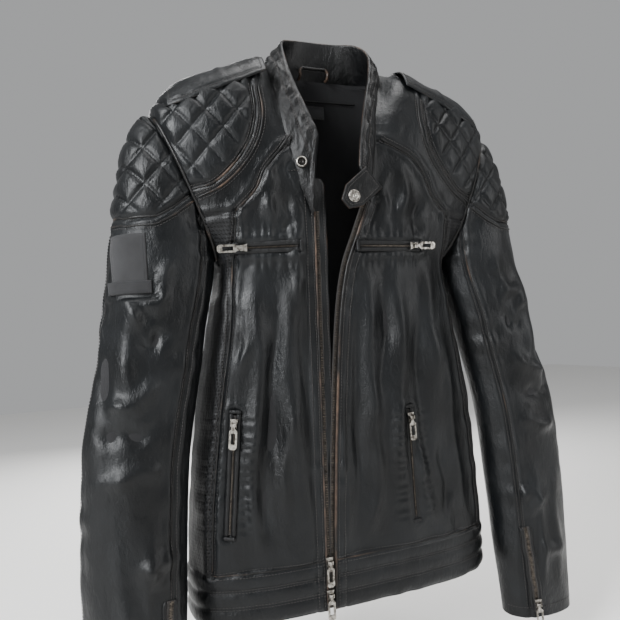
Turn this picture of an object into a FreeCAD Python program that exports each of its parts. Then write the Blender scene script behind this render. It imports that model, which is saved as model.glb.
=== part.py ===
import FreeCAD, Part
import math
import os

# Leather riding jacket, hanging open from its loop.
# Frame: +Z up, the front of the jacket faces -Y, the wearer's left is +X.
# The origin is the bearing point of the hanging loop at the back of the neck.
# Torso and sleeves are thin shells between two lofts, cut into panels along their seams.

Vec = FreeCAD.Vector
doc = FreeCAD.newDocument("riding_jacket")
sheet = doc.addObject("Spreadsheet::Sheet", "Dimensions")

DIMENSIONS = [
    ("hem_drop", 668, "from the loop down to the hem"),
    ("band_height", 56, "height of the waistband"),
    ("front_plane", 92, "how far the chest stands forward of the loop"),
    ("front_lean", 22, "how far the front leans back from chest to hem"),
    ("chest_depth", 69, "half depth of the torso at the chest"),
    ("hem_width", 196, "half width at the hem"),
    ("underarm_width", 151, "half width between the sleeves, at the underarm"),
    ("underarm_drop", 262, "from the loop down to the underarm"),
    ("shoulder_width", 222, "from the centre to the shoulder tip"),
    ("shoulder_drop", 88, "from the loop down to the shoulder tip"),
    ("cuff_drop", 735, "from the loop down to the cuff"),
    ("cuff_width", 50, "half width of the flattened cuff"),
    ("leather", 2.4, "leather with its interlining"),
    ("lining_gap", 8, "from the outer face of the leather to the lining"),
    ("lining", 1.2, "thickness of the lining"),
    ("joint_gap", 0.5, "clearance between a sleeve and its armhole"),
    ("tape_width", 14, "width of a pocket's zip with both tapes"),
    ("teeth_width", 5, "width of the closed teeth"),
    ("slider_width", 9, "width of a zip slider"),
    ("slider_length", 11, "length of a zip slider"),
    ("pull_width", 9, "width of a zip pull"),
    ("pull_length", 30, "length of a zip pull"),
    ("pin_rise", 3.7, "height of a pull's pin above the slider's base"),
    ("pin_length", 6.4, "width over a slider's two lugs"),
    ("tab_length", 54, "length of the collar tab"),
    ("tab_width", 28, "width of the collar tab"),
    ("snap_diameter", 15, "diameter of the snap cap"),
    ("loop_width", 42, "width of the hanging loop"),
]
for row, (alias, value, note) in enumerate(DIMENSIONS, start=1):
    sheet.set("A%d" % row, note)
    sheet.set("B%d" % row, str(value))
    sheet.setAlias("B%d" % row, alias)
doc.recompute()


def size(alias):
    return float(sheet.get(alias))


SIDES = (("right", -1), ("left", 1))        # the wearer's right is at -X
ROUNDNESS = 3.0                             # exponent of the torso's flattened ovals
FRONT_Y = -size("front_plane")
HEM_Z = -size("hem_drop")
WAIST_Z = HEM_Z + size("band_height")
CHEST_Z = -140                              # below this level the front leans back
YOKE_Z = -165                               # seam between back yoke and back panel
CAP_Z = -208                                # seam below the quilted sleeve cap
MIDDLE_Y = -24                              # side plane between front and back pieces
FRONT_SPAN = (-200, MIDDLE_Y)
BACK_SPAN = (MIDDLE_Y, 200)
WHOLE_SPAN = (-200, 200)
TOP_Z = 40
FAR = 240                                   # beyond the sides of the torso
FRONT_GAP_X = -45                           # inside the narrow gap between the two fronts
PIN_RADIUS = 0.8
PULL_THICKNESS = 1.6

finished = []


# ---------------------------------------------------------------- helpers

def feature(name, shape):
    """A document object that carries a shape made with Part's own functions."""
    made = doc.addObject("Part::Feature", name)
    made.Shape = shape
    return made


def boolean(kind, name, base, tool):
    made = doc.addObject("Part::" + kind, name)
    made.Base = base
    made.Tool = tool
    made.Refine = False
    return made


def cut_away(name, base, tools):
    """The base with each tool cut from it in turn."""
    for count, tool in enumerate(tools):
        base = boolean("Cut", "%s_%d" % (name, count), base, tool)
    return base


def fused(name, pieces):
    made = doc.addObject("Part::MultiFuse", name)
    made.Shapes = pieces
    return made


def node(made, label):
    """Marks a document object as a sub-part that is written to its own file."""
    made.Label = label
    finished.append(made)
    return made


def oval_wire(half_width, half_depth, centre, power, points=28):
    """A closed flattened oval (superellipse) around a centre, level with the floor."""
    ring = []
    for step in range(points):
        angle = 2 * math.pi * step / points
        along = math.cos(angle)
        across = math.sin(angle)
        ring.append(Vec(centre.x + half_width * math.copysign(abs(along) ** (2 / power), along),
                        centre.y + half_depth * math.copysign(abs(across) ** (2 / power), across),
                        centre.z))
    curve = Part.BSplineCurve()
    curve.interpolate(Points=ring, PeriodicFlag=True)
    return Part.Wire(curve.toShape())


def outline_prism(name, points, span):
    """A seam outline, drawn as a sketch in the front view and extruded along Y."""
    low, high = span
    sketch = doc.addObject("Sketcher::SketchObject", name + "_outline")
    sketch.Placement = FreeCAD.Placement(Vec(0, low, 0), FreeCAD.Rotation(Vec(1, 0, 0), 90))
    draw_polygon(sketch, points)
    prism = doc.addObject("Part::Extrusion", name + "_prism")
    prism.Base = sketch
    prism.DirMode = "Custom"
    prism.Dir = Vec(0, 1, 0)
    prism.LengthFwd = high - low
    prism.Solid = True
    return prism


def draw_polygon(sketch, points):
    for start, end in zip(points, points[1:] + points[:1]):
        sketch.addGeometry(Part.LineSegment(Vec(*start, 0), Vec(*end, 0)), False)


def mirrored(points, side):
    return [(side * across, level) for across, level in points]


def place_on(point, along, outward):
    """Placement whose local Y runs along a zip and whose local Z points out of the jacket."""
    along = Vec(along).normalize()
    across = along.cross(outward).normalize()
    square = across.cross(along)
    return FreeCAD.Placement(FreeCAD.Matrix(across.x, along.x, square.x, point.x,
                                            across.y, along.y, square.y, point.y,
                                            across.z, along.z, square.z, point.z,
                                            0, 0, 0, 1))


def new_body(label):
    return doc.addObject("PartDesign::Body", label + "_body")


def new_sketch(body, name, role="XY_Plane"):
    sketch = body.newObject("Sketcher::SketchObject", name)
    plane = next(item for item in body.Origin.OriginFeatures if item.Role == role)
    sketch.AttachmentSupport = (plane, [""])
    sketch.MapMode = "FlatFace"
    return sketch


def pad(body, name, sketch, length, symmetric=False):
    made = body.newObject("PartDesign::Pad", name)
    made.Profile = sketch
    made.setExpression("Length", length)
    if symmetric:
        made.SideType = "Symmetric"
    return made


def through_pocket(body, name, sketch):
    doc.recompute()
    made = body.newObject("PartDesign::Pocket", name)
    made.Profile = sketch
    made.Type = "ThroughAll"
    made.SideType = "Symmetric"
    doc.recompute()
    return made


# ---------------------------------------------------------------- torso and sleeve volumes

def front_line(level):
    """Depth of the front's middle at a level: upright to the chest, leaning back below it."""
    lean = max(CHEST_Z - level, 0) / (CHEST_Z - HEM_Z)
    return FRONT_Y + size("front_lean") * lean


def torso_sections():
    """Level, half width, half depth and centre of each oval of the torso, neck to hem."""
    hem = size("hem_width")
    underarm = size("underarm_width")
    tip = size("shoulder_width")
    chest = size("chest_depth")
    upper = [(-10, 80, chest - 27, -26), (-30, 128, chest - 20, -28),
             (-60, tip - 26, chest - 12, -28), (-92, tip - 2, chest - 5, -26)]
    lower = [(CHEST_Z, tip, chest), (-205, tip - 26, chest + 1),
             (-size("underarm_drop"), underarm, chest + 1), (-330, underarm + 9, chest),
             (-420, hem - 18, chest - 1), (-520, hem - 6, chest - 2),
             (WAIST_Z, hem, chest - 3), (HEM_Z, hem, chest - 3)]
    return upper + [(level, width, depth, front_line(level) + depth) for level, width, depth in lower]


def sleeve_sections():
    """Level, centre, half width, half depth and centre depth of a sleeve's ovals."""
    tip = size("shoulder_width")
    cuff = size("cuff_width")
    return [
        (-93, tip - 6, 18, 16, -26),
        (-110, tip - 13, 33, 30, -25),
        (-140, tip - 16, 47, 41, -24),
        (-200, tip - 15, 57, 47, -24),
        (-262, tip - 9, 59, 45, -28),
        (-350, tip + 9, 58, 41, -36),
        (-480, tip + 31, 56, 38, -44),
        (-620, tip + 38, cuff + 4, 36, -48),
        (-size("cuff_drop"), tip + 40, cuff, 33, -50),
    ]


def torso_volume(inset):
    """The torso's outer volume, moved inwards by the depth of a skin."""
    wires = [oval_wire(width - inset, depth - inset, Vec(0, centre, level), ROUNDNESS)
             for level, width, depth, centre in torso_sections()]
    return Part.makeLoft(wires, True, False, False, 3)


def sleeve_volume(side, inset):
    wires = [oval_wire(width - inset, depth - inset, Vec(side * across, centre, level), 2.2, 20)
             for level, across, width, depth, centre in sleeve_sections()]
    return Part.makeLoft(wires, True, False, False, 3)


def front_y(across, level):
    """Depth of the torso's front face at a place in the front view."""
    sections = torso_sections()
    for upper, lower in zip(sections, sections[1:]):
        if upper[0] >= level >= lower[0]:
            share = (upper[0] - level) / (upper[0] - lower[0])
            width, depth, centre = [upper[k] + share * (lower[k] - upper[k]) for k in (1, 2, 3)]
            bow = (1 - min(abs(across) / width, 0.999) ** ROUNDNESS) ** (1 / ROUNDNESS)
            return centre - depth * bow
    return FRONT_Y


# ---------------------------------------------------------------- seams in the front view

RIGHT_EDGE = [(-46, -206), (-50, HEM_Z - 20)]
LEFT_EDGE = [(-41, HEM_Z - 20), (-36, -560), (-28, -430), (-19, -330), (-9, -274), (6, -235), (24, -192)]
NECK_RIGHT = [(-84, TOP_Z), (-81, -20), (-79, -90), (-75, -122), (-66, -160)]
NECK_LEFT = [(31, -158), (38, -122), (46, -70), (76, -20), (84, TOP_Z)]
OPENING = NECK_RIGHT + RIGHT_EDGE + LEFT_EDGE + NECK_LEFT

QUILT_EDGE = [(114, TOP_Z), (112, -60), (111, -92), (118, -122), (135, -150), (160, -174), (240, -190)]
YOKE_EDGE = [(0, -112), (53, -120), (85, -136), (104, -158), (115, -182), (138, -206), (240, -222)]
GUSSET_EDGE = [YOKE_EDGE[-2], (139, -262), (146, -340), (160, -420), (172, -520), (178, WAIST_Z)]
FLAP_EDGE = [(90, TOP_Z), (90, -42), (122, -57), (186, -84), (205, -88), (205, TOP_Z)]
TIP = (size("shoulder_width"), -size("shoulder_drop"))
UNDERARM = (size("underarm_width"), -size("underarm_drop"))


def armhole_cutter(name, side):
    """What the armhole takes off the torso, down to the underarm."""
    points = [(TIP[0] + 8, TOP_Z), (TIP[0] + 8, TIP[1] + 30), TIP, UNDERARM, (400, UNDERARM[1]), (400, TOP_Z)]
    return outline_prism(name, mirrored(points, side), WHOLE_SPAN)


def sleeve_limit(name, side):
    """The room outboard of the leaning armhole, where a sleeve may be."""
    gap = size("joint_gap")
    points = [(TIP[0] + gap + 8, TOP_Z), (TIP[0] + gap + 8, TIP[1] + 30), (TIP[0] + gap, TIP[1]),
              (UNDERARM[0] + gap, UNDERARM[1]), (UNDERARM[0] + gap, -900), (500, -900), (500, TOP_Z)]
    return outline_prism(name, mirrored(points, side), WHOLE_SPAN)


def skin(name, inset, thickness):
    """A shell of the torso with its armholes and its front opening cut out."""
    wall = feature(name + "_wall", torso_volume(inset).cut(torso_volume(inset + thickness)))
    holes = [armhole_cutter(name + "_armhole_" + word, side) for word, side in SIDES]
    holes.append(outline_prism(name + "_front", OPENING, (-200, MIDDLE_Y - 4)))
    return cut_away(name, wall, holes)


def panel(label, shell, points, span):
    """One leather panel: the part of the shell inside its seam outline."""
    return node(boolean("Common", label + "_cut", shell, outline_prism(label, points, span)), label)


# ---------------------------------------------------------------- zips

def zip_strip(label, start, end, outward):
    """A pocket zip: a flat tape with the raised ladder of its teeth along the middle."""
    long = (end - start).Length - 0.2
    width = size("tape_width") - 0.2
    teeth = size("teeth_width")
    tape = Part.makeBox(width, long, 1, Vec(-width / 2, 0.1, -1))
    ladder = Part.makeBox(teeth, long - 4, 1.4, Vec(-teeth / 2, 2.1, 0))
    strip = feature(label, tape.fuse(ladder).removeSplitter())
    strip.Placement = place_on(start, end - start, outward)
    return node(strip, label)


def zip_slider(label, place):
    """A slider: a waisted plate with two lugs that carry the pull's pin."""
    body = new_body(label)
    sketch = new_sketch(body, label + "_plate")
    half = size("slider_width") / 2
    long = size("slider_length") / 2
    draw_polygon(sketch, [(-half, long), (-half * 0.6, -long * 0.2), (-half * 0.7, -long),
                          (half * 0.7, -long), (half * 0.6, -long * 0.2), (half, long)])
    pad(body, label + "_pad", sketch, "1.6")
    for word, side in SIDES:
        lug = new_sketch(body, label + "_lug_" + word)
        outer = side * size("pin_length") / 2
        inner = outer - side * 1.2
        draw_polygon(lug, [(inner, 2.2), (outer, 2.2), (outer, -2.2), (inner, -2.2)])
        pad(body, label + "_lug_pad_" + word, lug, "Dimensions.pin_rise + 1.7")
    eye = new_sketch(body, label + "_eye", "YZ_Plane")
    eye.addGeometry(Part.Circle(Vec(0, size("pin_rise"), 0), Vec(0, 0, 1), PIN_RADIUS + 0.08), False)
    through_pocket(body, label + "_bore", eye)
    body.Placement = place
    return node(body, label)


def zip_pull(label, place):
    """A pull: a long plate with a window, turning on a pin that it carries at its eye."""
    body = new_body(label)
    blank = new_sketch(body, label + "_blank")
    half = size("pull_width") / 2
    end = 2 - size("pull_length")
    neck = 1.5
    draw_polygon(blank, [(-neck, 1), (neck, 1), (neck, -4.5), (half, -7.5), (half, end + 2), (half - 2, end),
                         (2 - half, end), (-half, end + 2), (-half, -7.5), (-neck, -4.5)])
    pad(body, label + "_plate", blank, str(PULL_THICKNESS), True)
    slot = new_sketch(body, label + "_slot")
    rim = 2.2
    draw_polygon(slot, [(rim - half, -10), (half - rim, -10), (half - rim, end + 6), (rim - half, end + 6)])
    through_pocket(body, label + "_window", slot)
    pin = new_sketch(body, label + "_pin", "YZ_Plane")
    pin.addGeometry(Part.Circle(Vec(0, 0, 0), Vec(0, 0, 1), PIN_RADIUS), False)
    pad(body, label + "_rod", pin, "Dimensions.pin_length - 0.2", True)
    doc.recompute()
    body.Placement = place
    return node(body, label)


def slider_pair(name, point, along, outward, rise):
    """A slider with its pull; the pull lies back along the zip from the slider's pin."""
    place = place_on(point + Vec(outward).normalize() * rise, along, outward)
    zip_slider(name + "_slider", place)
    zip_pull(name + "_pull", FreeCAD.Placement(place.multVec(Vec(0, 0, size("pin_rise"))), place.Rotation))
    return place


def proud_line(start, end, clear=1.3):
    """A straight line in front of the torso's curved face, between two places of the front view."""
    ends = [Vec(across, front_y(across, level), level) for across, level in (start, end)]
    bulge = 0
    for step in range(1, 10):
        point = ends[0] + (ends[1] - ends[0]) * (step / 10)
        bulge = max(bulge, point.y - front_y(point.x, point.z))
    return [point - Vec(0, bulge + clear, 0) for point in ends]


# each pocket zip runs from its closed end, where its slider rests, to its open end
POCKET_ZIPS = {
    "chest_zip_right": proud_line((-140, -247), (-70, -247)),
    "chest_zip_left": proud_line((92, -247), (10, -247)),
    "hand_zip_right": proud_line((-148, -434), (-160, -566), 4),
    "hand_zip_left": proud_line((67, -447), (72, -580)),
}


def outward_of(start, end):
    """Direction out of the jacket, square to a pocket zip, taken from the face beside it."""
    middle = (start + end) * 0.5
    step = 12
    if abs(end.x - start.x) > abs(end.z - start.z):
        rise = front_y(middle.x, middle.z + step) - front_y(middle.x, middle.z - step)
        beside = Vec(0, rise, 2 * step)
    else:
        run = front_y(middle.x + step, middle.z) - front_y(middle.x - step, middle.z)
        beside = Vec(2 * step, run, 0)
    square = (end - start).cross(beside)
    return square if square.y < 0 else square * -1


# ---------------------------------------------------------------- torso

outer_skin = skin("outer_skin", 0, size("leather"))

for name, (start, end) in POCKET_ZIPS.items():
    zip_strip(name, start, end, outward_of(start, end))

for word, side in SIDES:
    quilt = mirrored(QUILT_EDGE, side)
    yoke = mirrored(YOKE_EDGE, side)
    gusset = mirrored(GUSSET_EDGE, side)
    far = side * FAR
    top_seam = [(FRONT_GAP_X, yoke[1][1])] + (yoke[1:-1] if side < 0 else yoke[:-1])
    panel("front_panel_" + word, outer_skin, top_seam + gusset[1:] + [(FRONT_GAP_X, WAIST_Z)], FRONT_SPAN)
    panel("front_yoke_" + word, outer_skin, quilt + yoke[::-1] + [(0, TOP_Z)], FRONT_SPAN)
    panel("shoulder_quilt_" + word, outer_skin, quilt + [(far, TOP_Z)], WHOLE_SPAN)
    panel("side_gusset_" + word, outer_skin, gusset + [(far, WAIST_Z), yoke[-1]], WHOLE_SPAN)
    panel("waistband_" + word, outer_skin,
                [(FRONT_GAP_X, WAIST_Z), (far, WAIST_Z), (far, HEM_Z - 5), (FRONT_GAP_X, HEM_Z - 5)], FRONT_SPAN)

YOKE_CORNER = (150.6, YOKE_Z)               # where the back yoke's seam meets the quilted shoulder
half_yoke = QUILT_EDGE[:5] + [YOKE_CORNER]
panel("back_yoke", outer_skin, half_yoke + mirrored(half_yoke, -1)[::-1], BACK_SPAN)
half_back = [YOKE_CORNER] + QUILT_EDGE[5:] + [YOKE_EDGE[-1]] + GUSSET_EDGE
panel("back_panel", outer_skin, half_back + mirrored(half_back, -1)[::-1], BACK_SPAN)
panel("waistband_back", outer_skin,
            [(-FAR, WAIST_Z), (FAR, WAIST_Z), (FAR, HEM_Z - 5), (-FAR, HEM_Z - 5)], BACK_SPAN)

flap_skin = skin("flap_skin", -4.4, 4)
for word, side in SIDES:
    panel("shoulder_flap_" + word, flap_skin, mirrored(FLAP_EDGE, side), WHOLE_SPAN)

LINING_TOP_Z = -28                          # the lining starts below the collar's seam
lining_skin = skin("body_lining_skin", size("lining_gap"), size("lining"))
above_lining = outline_prism("above_lining", [(-FAR, TOP_Z + 20), (FAR, TOP_Z + 20), (FAR, LINING_TOP_Z),
                                              (-FAR, LINING_TOP_Z)], WHOLE_SPAN)
node(cut_away("lining_body", lining_skin, [above_lining]), "body_lining")

wind_skin = feature("wind_skin", torso_volume(4.6).cut(torso_volume(6)))
panel("wind_flap", wind_skin,
            [(-52, -166), (-34, -166), (-29, -171), (-31, -640), (-56, -640), (-54, -206)], FRONT_SPAN)

zip_skin = feature("zip_skin", torso_volume(0.4).cut(torso_volume(2)))
ZIP_GAP = 0.4
ZIP_WIDTH = 3.4
near_right = [(across + ZIP_GAP, level) for across, level in RIGHT_EDGE]
far_right = [(across + ZIP_GAP + ZIP_WIDTH, level) for across, level in RIGHT_EDGE]
panel("main_zip_right", zip_skin, near_right + far_right[::-1], FRONT_SPAN)
near_left = [(across - ZIP_GAP, level) for across, level in LEFT_EDGE]
far_left = [(across - ZIP_GAP - ZIP_WIDTH, level) for across, level in LEFT_EDGE]
panel("main_zip_left", zip_skin, near_left + far_left[::-1], FRONT_SPAN)


# ---------------------------------------------------------------- pockets

for kind, wide, deep in (("chest", 8, 110), ("hand", 95, 10)):
    bags = []
    bag_skin = feature(kind + "_bag_skin", torso_volume(6.4).cut(torso_volume(7.6)))
    for word, side in SIDES:
        start, end = POCKET_ZIPS["%s_zip_%s" % (kind, word)]
        inner, outer = sorted((start.x, end.x), key=abs)
        toward = 1 if (word == "right" or kind == "chest") else -1
        if kind == "chest":
            low_x, high_x = min(start.x, end.x) + 2, max(start.x, end.x) - 2
            box = [(low_x, start.z + wide), (high_x, start.z + wide), (high_x, start.z - deep), (low_x, start.z - deep)]
        else:
            near = end.x - toward * deep
            box = [(near, start.z + 5), (near + toward * wide, start.z - 5), (near + toward * wide, end.z + 2), (near, end.z)]
        bags.append(boolean("Common", "%s_bag_%s" % (kind, word), bag_skin,
                            outline_prism("%s_bag_%s" % (kind, word), box, FRONT_SPAN)))
    node(fused(kind + "_bags", bags), kind + "_pocket_bags")


# ---------------------------------------------------------------- zip sliders and pulls

SLIDER_START = 9                            # from the closed end of a zip to its slider
for name, (start, end) in POCKET_ZIPS.items():
    outward = outward_of(start, end)
    inward = (end - start).normalize()
    # a chest pull points past the closed end, and a hand pull hangs down along its zip
    along = inward if name.startswith("chest") else inward * -1
    slider_pair(name, start + inward * SLIDER_START, along, outward, 1.8)

ZIP_X = RIGHT_EDGE[0][0] + ZIP_GAP + ZIP_WIDTH / 2
zip_top = Vec(ZIP_X, front_line(-206) - 0.1, -206)
zip_foot = Vec(ZIP_X - 4, front_line(HEM_Z - 20) - 0.1, HEM_Z - 20)
main_along = (zip_top - zip_foot).normalize()
main_outward = Vec(0, -1, main_along.y / main_along.z)
for name, level in (("main_upper", -612), ("main_lower", -650)):
    share = (level - zip_foot.z) / (zip_top.z - zip_foot.z)
    slider_pair(name, zip_foot + (zip_top - zip_foot) * share, main_along, main_outward, 1.5)


# ---------------------------------------------------------------- collar

# the collar's seam and its free edge, from the wearer's right front round the back to the left
COLLAR_SEAM = [(-49, -93, -200), (-62, -91, -162), (-71, -86, -122), (-75, -75, -88), (-77, -54, -50),
               (-77, -32, -16), (-66, 5, -8), (-38, 13.5, -8), (0, 15, -8), (38, 13.5, -8), (66, 5, -8),
               (74, -34, -16), (57, -62, -52), (43, -80, -86), (35, -90, -122), (28, -94, -156), (22, -95, -190)]
COLLAR_TOP = [(-41, -99, -122), (-42, -96, -112), (-45, -90, -100), (-49, -81, -80), (-54, -62, -45),
              (-56, -42, -8), (-50, -20, 22), (-30, -2, 34), (0, 5, 38), (30, -2, 35), (52, -20, 28),
              (60, -40, 8), (50, -58, -28), (36, -74, -60), (24, -86, -95), (15, -94, -128), (10, -99, -156)]


def collar_layer(label, offset):
    """One layer of the collar, on one side of the surface between its seam and its free edge."""
    curves = []
    for points in (COLLAR_SEAM, COLLAR_TOP):
        curve = Part.BSplineCurve()
        curve.interpolate(Points=[Vec(*point) for point in points],
                          Parameters=[float(k) for k in range(len(points))])
        curves.append(curve.toShape())
    face = Part.makeRuledSurface(curves[0], curves[1])
    return node(feature(label, face.makeOffsetShape(offset, 0.01, fill=True)), label)


collar_layer("collar_outer", -2)
collar_layer("collar_inner", 1.4)


def flat_piece(label, outline, thickness, place):
    """A flat piece cut from sheet."""
    body = new_body(label)
    sketch = new_sketch(body, label + "_outline")
    draw_polygon(sketch, outline)
    pad(body, label + "_sheet", sketch, str(thickness))
    body.Placement = place
    return node(body, label)


TAB_ROOT = Vec(25, -104, -168)
TAB_ALONG = Vec(0.767, 0, 0.642)            # from the tab's point back to its root
half_tab = size("tab_width") / 2
tab_end = -size("tab_length")
tab_place = place_on(TAB_ROOT, TAB_ALONG, Vec(0, -1, 0))
flat_piece("collar_tab", [(-half_tab, 0), (-half_tab, tab_end + 16), (-half_tab + 9, tab_end),
                          (half_tab - 9, tab_end), (half_tab, tab_end + 16), (half_tab, 0)], 3, tab_place)


def snap_cap(label, place, radius, height):
    """A domed snap cap: a low cylinder with its upper edge rounded over."""
    body = new_body(label)
    sketch = new_sketch(body, label + "_disc")
    sketch.addGeometry(Part.Circle(Vec(0, 0, 0), Vec(0, 0, 1), radius), False)
    disc = pad(body, label + "_pad", sketch, str(height))
    doc.recompute()
    rim = body.newObject("PartDesign::Fillet", label + "_dome")
    upper = max(range(len(disc.Shape.Edges)), key=lambda k: disc.Shape.Edges[k].CenterOfMass.z)
    rim.Base = (disc, ["Edge%d" % (upper + 1)])
    rim.Radius = height * 0.8
    doc.recompute()
    body.Placement = place
    return node(body, label)


SNAP_FROM_END = 17
cap_centre = tab_place.multVec(Vec(0, tab_end + SNAP_FROM_END, 3))
snap_cap("tab_snap_cap", FreeCAD.Placement(cap_centre, tab_place.Rotation), size("snap_diameter") / 2, 2.2)

# the socket that the tab's snap closes on, on the wearer's right end of the collar
socket_place = place_on(Vec(-62, -96.5, -152), Vec(0.1, 0, 1), Vec(-0.35, -1, 0.05))
socket = feature("snap_socket", Part.makeCylinder(6.3, 1.6).cut(Part.makeCylinder(2.6, 1.6)))
socket.Placement = socket_place
node(socket, "snap_socket")


# ---------------------------------------------------------------- neck fittings

half_loop = size("loop_width") / 2
LOOP_STRAP = 3.5                            # thickness of the rolled leather strap
LOOP_WIDE = 6
LOOP_FOOT_Z = -12                           # where the two ends are sewn into the collar seam
LOOP_FOOT_Y = 10.5


def block(name, corner, spans):
    made = doc.addObject("Part::Box", name)
    made.Length, made.Width, made.Height = spans
    made.Placement.Base = corner
    return made


strap = [block("loop_top", Vec(-half_loop, -LOOP_WIDE / 2, 0), (2 * half_loop, LOOP_WIDE, LOOP_STRAP))]
for word, side in SIDES:
    edge = min(side * half_loop, side * (half_loop - LOOP_STRAP))
    strap.append(block("loop_leg_" + word, Vec(edge, -LOOP_WIDE / 2, LOOP_FOOT_Z),
                       (LOOP_STRAP, LOOP_WIDE, -LOOP_FOOT_Z)))
    strap.append(block("loop_foot_" + word, Vec(edge, LOOP_WIDE / 2, LOOP_FOOT_Z),
                       (LOOP_STRAP, LOOP_FOOT_Y - LOOP_WIDE / 2, LOOP_STRAP)))
node(fused("loop", strap), "hanging_loop")

node(block("label_box", Vec(-17, 13.2, -61), (34, 0.8, 18)), "neck_label")


# ---------------------------------------------------------------- sleeves

SLEEVE_SPLIT_Y = -37
SLEEVE_FRONT = (-200, SLEEVE_SPLIT_Y)
SLEEVE_BACK = (SLEEVE_SPLIT_Y, 200)
CUFF_Z = -size("cuff_drop")



def mirror_node(source, label):
    made = doc.addObject("Part::Mirroring", label + "_mirror")
    made.Source = source
    made.Normal = Vec(1, 0, 0)
    return node(made, label)


# the wearer's right sleeve is cut into its pieces, and the left one mirrors it
near, beyond = -140, -400
lower = [(near, CAP_Z), (beyond, CAP_Z), (beyond, CUFF_Z - 5), (near, CUFF_Z - 5)]
cap = [(near, TOP_Z), (beyond, TOP_Z), (beyond, CAP_Z), (near, CAP_Z)]
sleeve_wall = feature("sleeve_wall", sleeve_volume(-1, 0).cut(sleeve_volume(-1, size("leather"))))
sleeve_shell = boolean("Common", "sleeve_shell", sleeve_wall, sleeve_limit("sleeve_room", -1))
inner_wall = feature("sleeve_lining_wall", sleeve_volume(-1, 6).cut(sleeve_volume(-1, 7)))
inner_shell = boolean("Common", "sleeve_lining_shell", inner_wall, sleeve_limit("lining_room", -1))
right_sleeve = {
    "sleeve_front": panel("sleeve_front_right", sleeve_shell, lower, SLEEVE_FRONT),
    "sleeve_back": panel("sleeve_back_right", sleeve_shell, lower, SLEEVE_BACK),
    "sleeve_cap": panel("sleeve_cap_right", sleeve_shell, cap, WHOLE_SPAN),
    "sleeve_lining": node(inner_shell, "sleeve_lining_right"),
}
for piece, source in right_sleeve.items():
    mirror_node(source, piece + "_left")

for word, side in SIDES:
    cuff_start = Vec(side * 238, -82.5, CUFF_Z + 8)
    cuff_end = Vec(side * 235, -85, CUFF_Z + 118)
    cuff_outward = Vec(-side * 0.3, -1, 0)
    zip_strip("cuff_zip_" + word, cuff_start, cuff_end, cuff_outward)
    along = (cuff_end - cuff_start).normalize()
    slider_pair("cuff_zip_" + word, cuff_start + along * 12, along, cuff_outward, 1.8)

patch_wall = feature("patch_wall", sleeve_volume(-1, -1.3).cut(sleeve_volume(-1, -0.2)))
panel("sleeve_patch", patch_wall, [(-262, -228), (-234, -236), (-241, -296), (-272, -284)], SLEEVE_FRONT)


# ---------------------------------------------------------------- check and export

doc.recompute()
for made in doc.Objects:
    if "Invalid" in made.State or "Error" in made.State:
        raise RuntimeError("%s did not rebuild" % made.Label)
for made in finished:
    if made.Shape.isNull() or not made.Shape.isValid() or not made.Shape.Solids:
        raise RuntimeError("%s has no valid solid" % made.Label)
os.makedirs("parts", exist_ok=True)
for made in finished:
    made.Shape.exportStep("parts/%s.step" % made.Label)
print("%d sub-parts written" % len(finished))
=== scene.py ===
import math

import bpy
import numpy as np
from mathutils import Matrix, Vector


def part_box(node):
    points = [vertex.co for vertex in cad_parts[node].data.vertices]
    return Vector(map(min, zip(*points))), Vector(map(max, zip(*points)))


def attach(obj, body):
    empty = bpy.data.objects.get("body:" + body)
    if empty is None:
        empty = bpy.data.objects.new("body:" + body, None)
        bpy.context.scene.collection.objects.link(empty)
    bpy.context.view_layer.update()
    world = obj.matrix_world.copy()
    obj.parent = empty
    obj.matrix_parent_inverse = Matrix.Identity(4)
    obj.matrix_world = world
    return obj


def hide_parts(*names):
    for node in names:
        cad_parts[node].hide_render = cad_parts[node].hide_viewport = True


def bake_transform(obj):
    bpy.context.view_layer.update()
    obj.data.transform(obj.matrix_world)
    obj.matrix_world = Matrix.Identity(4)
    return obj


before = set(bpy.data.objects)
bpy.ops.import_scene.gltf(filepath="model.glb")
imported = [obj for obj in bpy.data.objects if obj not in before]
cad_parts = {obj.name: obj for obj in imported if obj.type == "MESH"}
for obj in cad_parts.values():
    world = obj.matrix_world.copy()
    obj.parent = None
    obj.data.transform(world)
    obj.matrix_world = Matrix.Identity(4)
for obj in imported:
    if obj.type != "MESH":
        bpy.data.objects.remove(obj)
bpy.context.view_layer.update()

STEP = 2.4           # spacing of the surface points, in millimetres
MM = 0.001
FORWARD = np.array([0, -1.0, 0])            # away from the chest
ARMHOLE_GAP = 0.6                           # half the gap between the body and a sleeve

# ---------------------------------------------------------------- the garment's form, in millimetres
ROUNDNESS, SLEEVE_ROUNDNESS = 3.0, 2.2      # 2 is an oval, more is squarer
HEM_Z, WAIST_Z, YOKE_Z, CHEST_Z, TOP_Z = -668, -612, -165, -140, -10
NECK_Z = -185                               # above it the fronts end at the collar's seam
# level, half width, half depth, y of the middle
TORSO = np.array([
    (-10, 80, 42, -26), (-30, 128, 49, -28), (-60, 196, 57, -28), (-92, 220, 64, -26), (-140, 222, 69, -23),
    (-205, 196, 70, 0), (-262, 151, 70, 0), (-330, 160, 69, 0), (-420, 178, 68, 0), (-520, 190, 67, 0),
    (-612, 196, 66, 0), (-668, 196, 66, 0)], float)
CHEST_Y, HEM_Y = -92, -70                   # the front face leans back from the chest to the hem
for torso_row in TORSO[5:]:
    lean = (CHEST_Z - torso_row[0]) / (CHEST_Z - HEM_Z)
    torso_row[3] = CHEST_Y + (HEM_Y - CHEST_Y) * lean + torso_row[2]
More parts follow.
